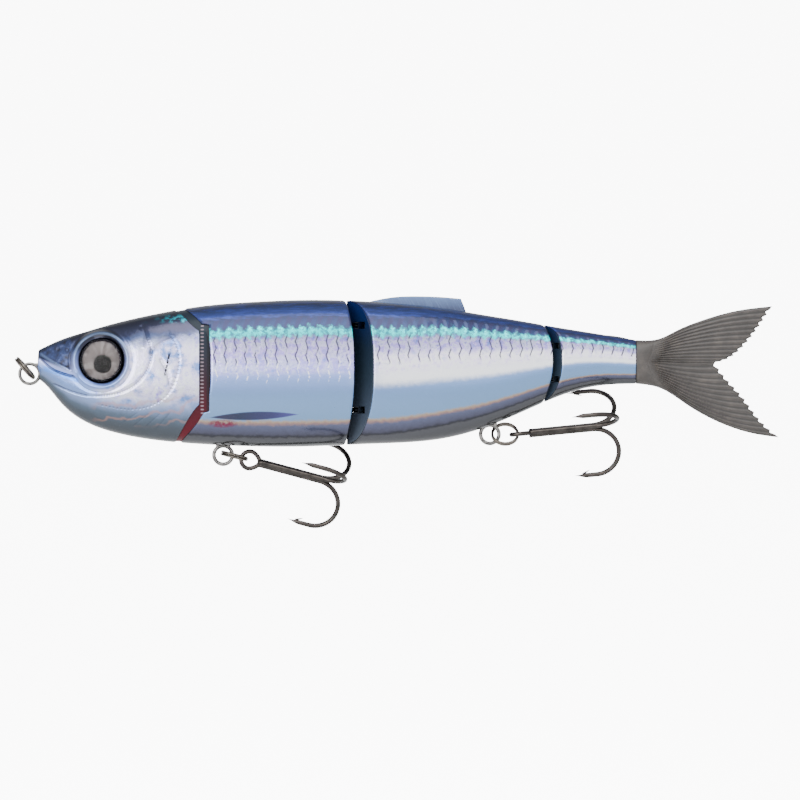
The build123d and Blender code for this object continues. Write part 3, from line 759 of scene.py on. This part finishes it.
def head_print():
    """The foil of the head."""
    s = Shader("foil_head", Metallic=0.85, Roughness=0.24, Coat_Weight=0.25, Coat_Roughness=0.04)
    x, z, height = s.split(s.attribute("fish"))
    place = s.place()
    soft = s.noise(place, 0.28, 3.0)
    h = s.fit(soft, 0.08, s.minus(height, 0.04))
    colour = s.ramp(h, [
        (0.00, 104, 110, 116),
        (0.10, 116, 126, 136),
        (0.17, 132, 148, 164),
        (0.24, 170, 184, 204),
        (0.36, 172, 192, 218),
        (0.50, 192, 204, 226),
        (0.64, 206, 212, 232),
        (0.76, 172, 186, 214),
        (0.81, 88, 116, 158),
        (0.86, 44, 62, 104),
        (0.95, 50, 62, 92),
        (1.00, 54, 62, 84),
    ])
    # Pearly clouds on the cheek: pearl paint with painted highlights in it.
    cloud = s.ramp(s.noise(place, 0.32, 5.0, 0.6), [(0.35, 150, 180, 214), (0.5, 222, 222, 238),
                                                    (0.6, 240, 240, 246), (0.72, 196, 188, 224)])
    cheek = s.times(s.bump_between(h, 0.30, 0.76, 0.08), s.step(x, 12.0, 20.0))
    colour = s.mix(s.times(cheek, 0.75), colour, cloud)
    # Orange and pink wisps low on the cheek.
    curve = s.fit(s.power(s.minus(x, 19.0), 2.0), 0.012, -8.0)
    drift = s.fit(s.noise(place, 0.25, 2.0), 5.0, -2.5)
    offset = s.minus(s.minus(z, curve), drift)
    wave = s.math("SINE", s.times(offset, 2.3))
    wisp = s.times(s.step(wave, 0.3, 1.1), s.bump_between(z, -11.0, -5.0, 1.2))
    wisp = s.times(wisp, s.step(x, 13.0, 17.0))
    colour = s.mix(s.times(wisp, 0.38), colour, srgb(206, 176, 164))
    # Smoky grey patch and turquoise glow at the nape.
    nape = s.bump_between(s.fit(soft, 3.0, z), 10.6, 13.0, 0.8)
    nape = s.times(nape, s.step(x, 24.5, 27.0))
    colour = s.mix(s.times(nape, 0.75), colour, srgb(110, 112, 136))
    glow = s.times(s.bump_between(z, 11.4, 12.9, 0.5), s.bump_between(x, 25.0, 36.0, 2.0))
    glow = s.times(glow, s.step(s.noise(place, 0.8, 3.0), 0.42, 0.6))
    colour = s.mix(glow, colour, srgb(96, 196, 206))
    # Dark crown, snout and brow.
    brow = s.minus(z, s.fit(x, 0.24, 3.2))
    crown = s.times(s.step(s.fit(soft, 1.6, brow), 0.2, 1.6), s.step(x, 35.0, 27.0))
    colour = s.mix(s.times(crown, 0.92), colour, srgb(32, 46, 84))
    snout = s.times(s.step(x, 10.8, 9.0), s.step(s.fit(x, 0.38, z), 3.7, 4.6))
    mottled = s.ramp(s.noise(place, 0.7, 4.0), [(0.35, 34, 40, 66), (0.6, 70, 96, 142),
                                                (0.75, 120, 134, 168)])
    colour = s.mix(snout, colour, mottled)
    # Painted highlight along the pale lower lip.
    lip_line = s.plus(s.fit(x, 0.36, z), -2.1)
    lip = s.times(s.bump_between(lip_line, -0.2, 0.9, 0.25), s.bump_between(x, 3.2, 11.2, 0.6))
    colour = s.mix(s.times(lip, 0.8), colour, srgb(150, 188, 226))
    # Blue ring and dark lid round the eye.
    dx = s.minus(x, float(EYE[0]))
    dz = s.minus(z, float(EYE[1]))
    ring = s.math("SQRT", s.plus(s.power(dx, 2.0), s.power(dz, 2.0)))
    halo = s.bump_between(ring, EYE_R, EYE_R + 1.6, 0.35)
    halo_colour = s.ramp(s.fit(dz, 0.09, 0.5), [(0.1, 118, 150, 196), (0.5, 96, 124, 172),
                                                               (0.72, 40, 52, 84), (1.0, 24, 28, 44)])
    colour = s.mix(s.times(halo, 0.85), colour, halo_colour)
    rim = s.bump_between(ring, EYE_R - 0.6, EYE_R + 0.35, 0.12)
    colour = s.mix(rim, colour, srgb(22, 28, 46))
    # Two short dark scratches in front of the gill cover.
    scratch = s.math("ABSOLUTE", s.minus(s.fit(z, -0.22, x), 30.4))
    scratch = s.minus(1.0, s.step(scratch, 0.16, 0.34))
    scratch = s.times(scratch, s.bump_between(z, -0.4, 4.8, 0.3))
    scratch = s.times(scratch, s.step(s.noise(place, 1.8, 2.0), 0.42, 0.5))
    colour = s.mix(scratch, colour, srgb(26, 30, 40))
    # Painted shade in the grooves, the mouth among them, and painted highlight on the ridges.
    relief = s.split(s.attribute("relief"))[0]
    colour = s.mix(s.times(s.step(relief, -0.06, -0.26), 0.7), colour, srgb(52, 62, 92))
    colour = s.mix(s.times(s.step(relief, 0.06, 0.24), 0.22), colour, srgb(200, 214, 236))
    # The socket behind the gills is bare dark plastic.
    colour = s.mix(s.math("LESS_THAN", height, -0.5), colour, srgb(26, 34, 52))
    s.colour(colour)
    s.put(s.bsdf.inputs["Roughness"], s.fit(s.noise(place, 2.0), 0.14, 0.14))
    s.bump(s.noise(place, 0.8, 5.0), 0.25, 0.25)
    return s.material


def shell_plastic(name, gills):
    """Dark moulded plastic seen at the joints; with gills, the red band with its pale rakers."""
    s = Shader(name, Metallic=0.0, Roughness=0.3, Specular_IOR_Level=0.2)
    place = s.place()
    x, y, z = s.split(place)
    cloud = s.fit(s.noise(place, 0.5, 3.0), 2.0, z)
    if gills:
        colour = s.ramp(s.fit(cloud, 1 / 32, 0.5), [
            (0.0, 150, 30, 52), (0.25, 112, 24, 40), (0.48, 74, 34, 52),
            (0.66, 48, 56, 76), (0.85, 20, 52, 72), (1.0, 14, 34, 56)])
        ahead = s.minus(HEAD_AXIS, x)
        turn = s.math("ARCTAN2", s.math("ABSOLUTE", y), ahead)
        rakers = s.bump_between(turn, radians(84.0), radians(89.0), radians(1.2))
        teeth = s.step(s.math("PINGPONG", s.plus(z, 0.3), 0.4), 0.18, 0.3)
        tick = s.times(s.times(rakers, teeth), s.bump_between(z, -11.5, 12.5, 1.5))
        colour = s.mix(s.times(tick, 0.6), colour, srgb(190, 180, 186))
        dark_edge = s.step(turn, radians(92.5), radians(95.5))
        colour = s.mix(s.times(dark_edge, 0.65), colour, srgb(24, 26, 40))
    else:
        colour = s.ramp(s.fit(cloud, 1 / 34, 0.48), [
            (0.0, 122, 132, 142), (0.25, 92, 106, 124), (0.5, 58, 78, 96),
            (0.68, 38, 62, 86), (0.82, 12, 54, 104), (1.0, 8, 62, 132)])
    s.colour(colour)
    s.bump(s.noise(place, 1.2, 4.0), 0.12, 0.1)
    return s.material


def metal(name, light, dark, rough, scale=1.4):
    """Drawn wire with faint fine bumps and small stains."""
    s = Shader(name, Metallic=1.0, Roughness=rough)
    place = s.place()
    stain = s.noise(place, scale, 5.0, 0.6)
    s.colour(s.ramp(stain, [(0.3, dark), (0.6, light)]))
    s.put(s.bsdf.inputs["Roughness"], s.fit(stain, 0.2, rough - 0.1))
    s.bump(s.noise(place, 9.0, 3.0), 0.08, 0.05)
    return s.material


def fin_plastic():
    """Clear tinted plastic of the dorsal fin."""
    s = Shader("fin_plastic", Roughness=0.25, Specular_IOR_Level=0.4, Subsurface_Weight=0.1)
    s.bsdf.inputs["Subsurface Radius"].default_value = (0.001, 0.001, 0.0012)
    x, y, z = s.split(s.place())
    rays = s.noise(s.vector(s.fit(z, 0.55, x), 0.0, s.times(z, 0.1)), 1.6, 2.0)
    base = s.ramp(s.fit(z, 0.25, -3.4), [(0.2, 92, 112, 150), (0.8, 136, 160, 190)])
    s.colour(s.mix(s.times(s.step(rays, 0.4, 0.7), 0.3), base, srgb(150, 172, 198)))
    s.bump(rays, 0.2, 0.15)
    return s.material


def tail_rubber():
    """Soft grey-brown plastic with a satin skin."""
    s = Shader("tail_rubber", Roughness=0.5, Specular_IOR_Level=0.45, Subsurface_Weight=0.08)
    s.bsdf.inputs["Subsurface Radius"].default_value = (0.002, 0.0015, 0.001)
    place = s.place()
    ray = s.split(s.attribute("fish"))[1]
    cloud = s.noise(place, 0.35, 4.0)
    base = s.ramp(cloud, [(0.3, 88, 82, 78), (0.55, 106, 99, 95), (0.75, 126, 118, 112)])
    groove_shade = s.times(s.step(ray, 0.45, 0.05), 0.75)
    s.colour(s.mix(groove_shade, base, srgb(56, 50, 48)))
    s.put(s.bsdf.inputs["Roughness"], s.fit(cloud, 0.25, 0.34))
    s.bump(s.noise(place, 3.0, 4.0), 0.15, 0.12)
    return s.material


def eye_paint():
    """Silver iris with dark flecks, a black pupil and a dark rim."""
    s = Shader("eye_paint", Metallic=0.5, Roughness=0.3, Specular_IOR_Level=0.0, Coat_Weight=0.05,
               Coat_Roughness=0.02)
    u, v, _ = s.split(s.attribute("fish"))
    radius = s.math("SQRT", s.plus(s.power(u, 2.0), s.power(v, 2.0)))
    turn = s.math("ARCTAN2", v, u)
    spokes = s.noise(s.vector(s.times(turn, 1.6), s.times(radius, 0.5), 0.0), 2.0, 5.0)
    iris = s.ramp(spokes, [(0.3, 84, 76, 76), (0.5, 120, 112, 110), (0.62, 172, 168, 168),
                           (0.8, 110, 98, 102)])
    shade = s.ramp(radius, [(0.0, 96, 88, 88), (0.62, 154, 148, 146), (0.86, 112, 106, 108)])
    iris = s.mix(0.45, iris, shade)
    low_pupil = s.math("SQRT", s.plus(s.power(s.plus(u, 0.08), 2.0),
                                      s.power(s.plus(v, 0.17), 2.0)))
    colour = s.mix(s.step(low_pupil, 0.46, 0.42), iris, srgb(14, 12, 12))
    # Painted reflection: a grey patch over the top of the pupil.
    pupil_reflection = s.times(s.step(low_pupil, 0.46, 0.42), s.step(v, 0.12, 0.34))
    colour = s.mix(s.times(pupil_reflection, 0.35), colour, srgb(112, 104, 100))
    colour = s.mix(s.step(radius, 0.86, 0.91), colour, srgb(24, 24, 32))
    s.colour(colour)
    return s.material


def lens_clear():
    """The clear dome over the eye."""
    s = Shader("lens_clear", Roughness=0.02, Alpha=0.05, Coat_Weight=1.0, Coat_Roughness=0.01)
    tint = s.noise(s.place(), 0.4, 2.0)
    s.colour(s.ramp(tint, [(0.2, 40, 44, 52), (0.8, 60, 62, 70)]))
    return s.material


def floor_paper():
    """Pale studio paper."""
    s = Shader("floor_paper", Roughness=0.9)
    tint = s.noise(s.place(), 0.004, 2.0)
    s.colour(s.ramp(tint, [(0.3, (0.88, 0.88, 0.88, 1)), (0.7, (0.90, 0.90, 0.90, 1))]))
    return s.material


# ---------------------------------------------------------------- eyes
def eye_piece(side, word):
    """A domed eye disc and its clear lens, tilted with the head."""
    tilt = radians(EYE_TILT)
    out = np.array([-sin(tilt), side * cos(tilt), 0.04])
    out /= np.linalg.norm(out)
    across = np.cross([0, 0, 1.0], out) * side
    across /= np.linalg.norm(across)
    up = np.cross(out, across) * side
    up /= np.linalg.norm(up)
    centre = np.array([EYE[0], side * EYE_FACE_Y, EYE[1]])
    count = 96
    angles = np.linspace(0, 2 * pi, count, endpoint=False)

    def dish(name, profile, nodes, material):
        points = []
        marks = []
        for radius, lift in profile:
            for angle in angles:
                u, v = radius * cos(angle), radius * sin(angle)
                points.append(centre + across * u + up * v + out * lift)
                marks.append((u / EYE_R, v / EYE_R, lift))
        piece = add_mesh(name, points, grid_faces(len(profile), count, True))
        give_vector(piece, "fish", marks)
        merge_poles(piece)
        piece.data.materials.append(material)
        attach(piece, "head")
        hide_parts(*nodes)
        return piece

    steps = np.linspace(0, 1, 14)
    face = [(0.0, -0.8)] + [(EYE_R, -0.8), (EYE_R, -0.1), (EYE_R - 0.12, 0.0)]
    face += [((EYE_R - 0.12) * (1 - t), 0.2 * t * (2 - t) - 0.15 * (1 - t) * t) for t in steps[1:]]
    dish(f"eye_disc_{word}", face, [f"eye_{word}"], MATERIALS["iris"])
    dome = [(0.0, 0.26), (EYE_R * 0.5, 0.2), (EYE_R - 0.2, 0.06), (EYE_R - 0.05, 0.12)]
    dome += [((EYE_R - 0.05) * cos(a), 0.12 + 1.0 * sin(a)) for a in np.linspace(0.05, pi / 2, 18)]
    dish(f"eye_dome_{word}", dome, [f"eye_lens_{word}"], MATERIALS["lens"])


# ---------------------------------------------------------------- rings and hooks
RING_R = 2.85
RING_WIRE = 0.272
RING_PITCH = 0.56
HOOK_WIRE = 0.525
HOOK_BEND_WIRE = 0.545   # the bends are forged a little thicker
HOOK_EYE_R = 1.92
HOOK_EYE_WIRE = 0.5
SHANK_START = 2.0
SHANK_END = 16.3
SHANK_OFFSET = 0.55
BEND_R = 5.25
POINT_END = 11.45
HOOK_TURN = -16.0


def on_plane(centre, along, across, u, v):
    return centre + np.outer(u, along) + np.outer(v, across)


def ring_piece(name, centre, slope, roll, body):
    """A split ring: two turns of round wire, one lifted over the other, with thinned ends."""
    tilt = radians(slope)
    turn = radians(roll)
    along = np.array([cos(tilt), 0, sin(tilt)])
    third = np.cross(along, [0, 1.0, 0])
    across = cos(turn) * np.array([0, 1.0, 0]) + sin(turn) * third
    axis = np.cross(along, across)
    angles = np.linspace(0, 4 * pi, 180)
    lift = RING_PITCH * (smooth(0.42, 0.58, angles / (4 * pi)) - 0.5)
    centre = np.asarray(centre, float)
    path = on_plane(centre, along, across, RING_R * np.cos(angles), RING_R * np.sin(angles))
    path = path + np.outer(lift, axis)
    radii = np.full(len(angles), RING_WIRE)
    taper = smooth(0, 0.03, angles / (4 * pi)) * (1 - smooth(0.97, 1, angles / (4 * pi)))
    points, faces = tube(path, radii * (0.55 + 0.45 * taper))
    piece = add_mesh(name, points, faces)
    fix_normals(piece)
    piece.data.materials.append(MATERIALS["ring_wire"])
    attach(piece, body)
    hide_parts(name.replace("_coil", ""))


def treble_piece(name, centre, slope, eye_roll, body):
    """A treble hook with formed eye, brazed shank, forged bends, barbs and needle points."""
    tilt = radians(slope)
    origin = np.array([centre[0], 0, centre[1]])
    along = np.array([cos(tilt), 0, sin(tilt)])
    up = np.array([-sin(tilt), 0, cos(tilt)])
    near = np.array([0, -1.0, 0])

    def world(u, v, w):
        return origin + np.outer(u, along) + np.outer(v, up) + np.outer(w, near)

    parts = []
    roll = radians(eye_roll)
    angles = np.linspace(0.0, 2 * pi, 72 + 1)[:-1]
    pull = 1 + 0.16 * np.maximum(np.cos(angles), 0) ** 3
    eye_u = HOOK_EYE_R * np.cos(angles) * pull
    eye_v = HOOK_EYE_R * np.sin(angles) * (1 - 0.1 * np.maximum(np.cos(angles), 0))
    eye_path = world(eye_u, eye_v * cos(roll), eye_v * sin(roll))
    parts.append(tube(eye_path, np.full(len(angles), HOOK_EYE_WIRE), closed=True))
    for arm in range(3):
        turn = radians(HOOK_TURN + 120 * arm)
        out_v, out_w = -cos(turn), sin(turn)
        top = SHANK_OFFSET + 2 * BEND_R
        shank = np.linspace(SHANK_START, SHANK_END, 16)
        bend = np.linspace(-pi / 2, pi / 2, 40)[1:]
        spear = np.linspace(SHANK_END, POINT_END, 22)[1:]
        u = np.concatenate([shank, SHANK_END + BEND_R * np.cos(bend), spear])
        middle = SHANK_OFFSET + BEND_R
        v = np.concatenate([np.full(len(shank), SHANK_OFFSET), middle + BEND_R * np.sin(bend),
                            top - 0.15 * smooth(13.6, 11.4, spear)])
        radii = np.full(len(u), HOOK_WIRE)
        on_bend = np.arange(len(u)) >= len(shank)
        radii[on_bend] = HOOK_BEND_WIRE
        tip = smooth(11.4, 14.2, u) * 0.485 + 0.04
        spear_part = np.arange(len(u)) >= len(shank) + len(bend)
        radii = np.where(spear_part, np.minimum(tip, HOOK_WIRE), radii)
        parts.append(tube(world(u, v * out_v, v * out_w), radii))
        barb_u = np.linspace(13.1, 14.7, 8)
        barb_v = top - 0.25 - np.linspace(0.1, 0.95, 8)
        parts.append(tube(world(barb_u, barb_v * out_v, barb_v * out_w), np.linspace(0.28, 0.05, 8), sides=8))
    braze = np.linspace(2.2, 15.2, 40)
    parts.append(tube(world(braze, 0 * braze, 0 * braze),
                      0.66 - 0.2 * (1 - smooth(2.2, 4, braze)) - 0.25 * smooth(13.4, 15.2, braze)))
    points, faces = join_parts(parts)
    piece = add_mesh(name, points, faces)
    fix_normals(piece)
    piece.data.materials.append(MATERIALS["hook"])
    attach(piece, body)
    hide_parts(name.replace("_hook", ""))


def slot_shade_plugs(name, axis, heights, pin, wire, radius, body):
    """Dark washer-shaped plugs above and below each wire eye, and a wall at the back of its slot: they close
    the slot so it shows dark, as painted shade in the joint gap.
    """
    parts = []
    angles = np.linspace(0, 2 * pi, 48, endpoint=False)
    back = axis + pin + 2 * wire + 0.12
    for height in heights:
        for side in (1, -1):
            low, high = wire + 0.012, wire + 0.29
            profile = [(pin + 0.03, low), (radius - 0.05, low), (radius, low + 0.05), (radius, high - 0.05),
                       (radius - 0.05, high), (pin + 0.03, high), (pin + 0.03, low)]
            points = [(axis + r * cos(a), r * sin(a), height + side * z) for r, z in profile for a in angles]
            parts.append((np.array(points), grid_faces(len(profile), len(angles), True)))
        wall = wire + 0.3
        bow = np.linspace(radians(-78), radians(78), 25)
        cup = [(radius - 0.12, -wall), (radius, -wall), (radius, wall), (radius - 0.12, wall)]
        points = [(axis + r * cos(a), r * sin(a), height + z) for a in bow for r, z in cup]
        ends = [(3, 2, 1, 0), tuple(4 * (len(bow) - 1) + i for i in range(4))]
        parts.append((np.array(points), grid_faces(len(bow), 4, True) + ends))
        outline = [(back, -0.6), (back + 0.5, -0.6), (back + 0.5, 0.6), (back, 0.6)]
        points = [(x, y, height + z) for z in (-wall, wall) for x, y in outline]
        sides = [(i, (i + 1) % 4, 4 + (i + 1) % 4, 4 + i) for i in range(4)]
        parts.append((np.array(points), sides + [(3, 2, 1, 0), (4, 5, 6, 7)]))
    points, faces = join_parts(parts)
    piece = add_mesh(name, points, faces, smooth_shading=False)
    fix_normals(piece)
    piece.data.materials.append(MATERIALS["shell"])
    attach(piece, body)


# ---------------------------------------------------------------- fins
def curve_through(points, count):
    """Evenly spaced places on a smooth curve through the points."""
    points = np.asarray(points, float)
    run = np.concatenate([[0], np.cumsum(np.hypot(*np.diff(points, axis=0).T))])
    even = np.linspace(0, run[-1], count)
    return np.stack([natural_spline(run, points[:, 0])(even), natural_spline(run, points[:, 1])(even)], -1)


def patch(lower, upper, front, back):
    """A sheet of places that fills four edges."""
    rows, columns = len(lower), len(front)
    u = np.linspace(0, 1, rows)[:, None, None]
    v = np.linspace(0, 1, columns)[None, :, None]
    sheet = (1 - v) * lower[:, None] + v * upper[:, None] + (1 - u) * front[None] + u * back[None]
    low_corners = (1 - v) * ((1 - u) * lower[0] + u * lower[-1])
    high_corners = v * ((1 - u) * upper[0] + u * upper[-1])
    return sheet - low_corners - high_corners


def blade(name, sheet, half, marks):
    """A closed blade: the sheet given half a thickness to each side."""
    rows, columns = half.shape
    right = np.stack([sheet[..., 0], half, sheet[..., 1]], -1).reshape(-1, 3)
    left = np.stack([sheet[..., 0], -half, sheet[..., 1]], -1).reshape(-1, 3)
    base = rows * columns
    faces = grid_faces(rows, columns, False) + grid_faces(rows, columns, False, base, flip=True)
    rim = [(0, c) for c in range(columns)] + [(r, columns - 1) for r in range(1, rows)]
    rim += [(rows - 1, c) for c in range(columns - 2, -1, -1)] + [(r, 0) for r in range(rows - 2, 0, -1)]
    for (r0, c0), (r1, c1) in zip(rim, rim[1:] + rim[:1]):
        first, second = r0 * columns + c0, r1 * columns + c1
        faces.append((first, base + first, base + second, second))
    piece = add_mesh(name, np.concatenate([right, left]), faces)
    give_vector(piece, "fish", np.concatenate([marks.reshape(-1, 3)] * 2))
    fix_normals(piece)
    return piece


def soft_tail():
    """The soft tail: a smooth root that spreads into a forked, ribbed fin."""
    rows, columns = 150, 240
    lower = curve_through([(134.45, -2.2), (139.5, -3.1), (145.3, -6.6), (152.9, -10.8), (160.6, -13.3),
                           (166.1, -14.1)], rows)
    upper = curve_through([(134.45, 7.5), (139.2, 7.7), (143.4, 9.6), (149.1, 11.9), (156.7, 14.0),
                           (164.6, 15.0)], rows)
    front = curve_through([(134.45, -2.2), (134.45, 2.6), (134.45, 7.5)], columns)
    half_count = columns // 2
    low_half = curve_through([(166.1, -14.1), (162.0, -10.2), (158.0, -4.9), (154.4, -0.9), (151.9, 2.4)],
                             half_count)
    high_half = curve_through([(151.9, 2.4), (155.0, 3.4), (158.6, 6.4), (161.8, 10.5), (164.6, 15.0)],
                              columns - half_count + 1)[1:]
    back = np.concatenate([low_half, high_half])
    across = np.linspace(0, 1, columns)
    ribs = 25
    saw = np.abs((across * ribs) % 1.0 - 0.5) * 2
    notch = 0.75 * saw * smooth(0.0, 0.04, across) * (1 - smooth(0.96, 1.0, across))
    back = back - np.stack([notch, 0 * notch], -1)
    sheet = patch(lower, upper, front, back)
    u = np.linspace(0, 1, rows)[:, None]
    v = across[None, :]
    fullness = 1 - np.abs(2 * v - 1) ** (2.6 + 14 * smooth(0.0, 0.35, u))
    body = 2.5 * (1 - smooth(0.0, 0.3, u)) + 1.05 * smooth(0.0, 0.3, u) * (1 - 0.75 * u)
    rib = 0.5 + 0.5 * np.cos(2 * pi * ribs * v + pi)
    fine_rib = 0.5 + 0.5 * np.cos(4 * pi * ribs * v)
    ribbed = smooth(0.14, 0.3, u)
    half = body * np.maximum(fullness, 0) ** 0.5
    half = half * (1 - ribbed * (0.30 * (1 - rib) + 0.10 * (1 - fine_rib) * smooth(0.45, 0.7, u)))
    half = half * (1 - 0.05 * np.exp(-((u - 0.13) / 0.008) ** 2))
    half = np.maximum(half * (1 - 0.5 * smooth(0.97, 1, u)), 0.02)
    marks = np.stack([sheet[..., 0], np.broadcast_to(1 - ribbed * (1 - rib), half.shape), sheet[..., 1]], -1)
    piece = blade("soft_tail", sheet, half, marks)
    piece.data.materials.append(MATERIALS["soft_tail"])
    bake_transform(piece)
    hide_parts("soft_tail_root", "soft_tail_fin")


def dorsal_fin():
    """The dorsal fin, thinning towards its edge."""
    rows, columns = 110, 30 + 4
    lower = curve_through([(74.7, 15.6), (82.0, 14.9), (90.0, 13.7), (97.1, 12.6)], rows)
    upper = curve_through([(74.8, 15.9), (80.6, 17.0), (86.1, 17.2), (91.0, 17.05), (95.6, 16.65)], rows)
    front = curve_through([(74.7, 15.6), (74.75, 15.75), (74.8, 15.9)], columns)
    back = curve_through([(97.1, 12.6), (96.4, 14.7), (95.6, 16.65)], columns)
    sheet = patch(lower, upper, front, back)
    u = np.linspace(0, 1, rows)[:, None]
    v = np.linspace(0, 1, columns)[None, :]
    half = 0.62 - 0.36 * v + 0 * u
    half = half * (1 - 0.45 * smooth(0.9, 1, v)) * (1 - 0.4 * smooth(0.95, 1, u))
    half = half * (1 - 0.06 * (0.5 + 0.5 * np.cos(2 * pi * 16 * u)) * smooth(0.2, 0.5, v))
    marks = np.stack([sheet[..., 0], half, sheet[..., 1]], -1)
    piece = blade("dorsal_blade", sheet, half, marks)
    piece.data.materials.append(MATERIALS["fin"])
    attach(piece, "rear_body")
    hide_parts("dorsal_fin")


# ---------------------------------------------------------------- stage, light and camera
def studio():
    """A pale round floor, a glowing panel far behind, soft lights and the camera at the fish's left side."""
    count = 96
    points = []
    for radius in (0.0, 0.5, 1.2, 2.4):
        for angle in np.linspace(0, 2 * pi, count, endpoint=False):
            points.append((radius * cos(angle) / MM + 80, radius * sin(angle) / MM, -320))
    floor = add_mesh("floor", points, grid_faces(4, count, True))
    floor.data.materials.append(floor_paper())
    panel = add_mesh("panel", [(x, 2200, z) for z in (-330, 330) for x in (-330, 490)], [(0, 1, 3, 2)])
    glow = Shader("panel_glow", Roughness=1.0)
    glow.colour(WHITE)
    glow.bsdf.inputs["Emission Color"].default_value = WHITE
    glow.bsdf.inputs["Emission Strength"].default_value = 7.5
    panel.data.materials.append(glow.material)
    world = bpy.data.worlds.new("studio")
    bpy.context.scene.world = world
    world.use_nodes = True
    tree = world.node_tree
    background = tree.nodes["Background"]
    background.inputs["Color"].default_value = (0.97, 0.985, 1.0, 1.0)
    where = tree.nodes.new("ShaderNodeTexCoord")
    parts = tree.nodes.new("ShaderNodeSeparateXYZ")
    tree.links.new(where.outputs["Generated"], parts.inputs[0])
    fall = tree.nodes.new("ShaderNodeMapRange")
    fall.interpolation_type = "SMOOTHSTEP"
    tree.links.new(parts.outputs["Y"], fall.inputs["Value"])
    for key, value in (("From Min", 0.45), ("From Max", -0.6), ("To Min", 0.7), ("To Max", 2.4)):
        fall.inputs[key].default_value = value
    tree.links.new(fall.outputs["Result"], background.inputs["Strength"])
    target = Vector((0.080, 0, 0))
    lamps = (("key", (0.0, -0.75, 0.85), 0.7, 5.5), ("fill", (-0.5, -0.9, 0.15), 0.5, 3.5))
    for name, place, size, power in lamps:
        light = bpy.data.lights.new(name, "AREA")
        light.size = size
        light.energy = power
        holder = bpy.data.objects.new(name, light)
        holder.location = place
        holder.rotation_euler = (target - holder.location).to_track_quat("-Z", "Y").to_euler()
        bpy.context.scene.collection.objects.link(holder)
    camera = bpy.data.cameras.new("camera")
    camera.sensor_width = 36.0
    distance = 1.1
    view_width = 0.17736
    camera.lens = camera.sensor_width / 2 / (view_width / 2 / distance)
    holder = bpy.data.objects.new("camera", camera)
    holder.location = (0.0821, -distance, -0.0058)
    holder.rotation_euler = (pi / 2, 0, 0)
    bpy.context.scene.collection.objects.link(holder)
    bpy.context.scene.camera = holder


# ---------------------------------------------------------------- put it together
MATERIALS = {
    "foil": body_print(),
    "head": head_print(),
    "shell": shell_plastic("shell_plastic", False),
    "gills": shell_plastic("gill_plastic", True),
    "iris": eye_paint(),
    "lens": lens_clear(),
    "wire": metal("wire_steel", srgb(176, 174, 172), srgb(96, 94, 94), 0.28),
    # The hinge eyes and pins: the same steel wire painted darker, as painted shade in the joint gaps.
    "hinge": metal("hinge_steel_shaded", srgb(70, 74, 82), srgb(34, 38, 46), 0.3),
    "ballast": metal("ballast_steel", srgb(128, 128, 130), srgb(84, 84, 86), 0.5),
    "ring_wire": metal("ring_steel", srgb(160, 154, 148), srgb(88, 82, 78), 0.24),
    "hook": metal("hook_nickel", srgb(124, 118, 114), srgb(80, 76, 74), 0.2, 0.5),
    "fin": fin_plastic(),
    "soft_tail": tail_rubber(),
}
studio()
head = head_piece()
head.data.materials.append(MATERIALS["head"])
for part, front_edge, front_x, back_edge, back_x in (
    ("front", foil_front, 38.0, hollow_edge(MID), 71.0),
    ("rear", wedge_edge(MID), 75.0, hollow_edge(TAIL), 115.0),
    ("tail", wedge_edge(TAIL), 117.0, None, BODY_END),
):
    foils = (f"{part}_foil_left", f"{part}_foil_right")
    skin = skin_piece(f"{part}_skin", front_edge, front_x, back_edge, back_x, f"{part}_body", foils)
    skin.data.materials.append(MATERIALS["foil"])
for eye_side, eye_word in ((1, "right"), (-1, "left")):
    eye_piece(eye_side, eye_word)
ring_piece("nose_ring_coil", (-0.95, 0, 1.2), -48.5, 0.0, "nose_ring")
ring_piece("front_ring_coil", (45.4, 0, -18.2), -14.0, 0.0, "front_ring")
ring_piece("rear_ring_coil", (105.4, 0, -13.35), 0.0, 50.0, "rear_ring")
treble_piece("front_treble_hook", (48.8, -19.1), -15.0, 0.0, "front_hook")
treble_piece("rear_treble_hook", (108.7, -13.3), 5.5, 90.0, "rear_hook")
soft_tail()
dorsal_fin()
# Plugs that close the hinge slots so they show dark, as painted shade in the joint gaps.
slot_shade_plugs("middle_slot_plugs", MID["axis"], (10.7, -8.0), 0.6, 0.5, 1.95, "rear_body")
slot_shade_plugs("tail_slot_plugs", TAIL["axis"], (6.2, -1.2), 0.5, 0.4, 1.57, "tail_body")

SLOT_OF = {entry["node"]: entry["material_slot"] for entry in frame["record"]["subparts"]}
for node_name, node in frame["nodes"].items():
    kind = SLOT_OF[node_name]
    if node_name.startswith("front_shell"):
        kind = "gills"
    # Hinge eyes and pins take the darker steel, painted shade for the joint gaps.
    if node_name.endswith("hinge_eyes") or node_name.endswith("_pin"):
        kind = "hinge"
    node.data.materials.clear()
    node.data.materials.append(MATERIALS[kind])
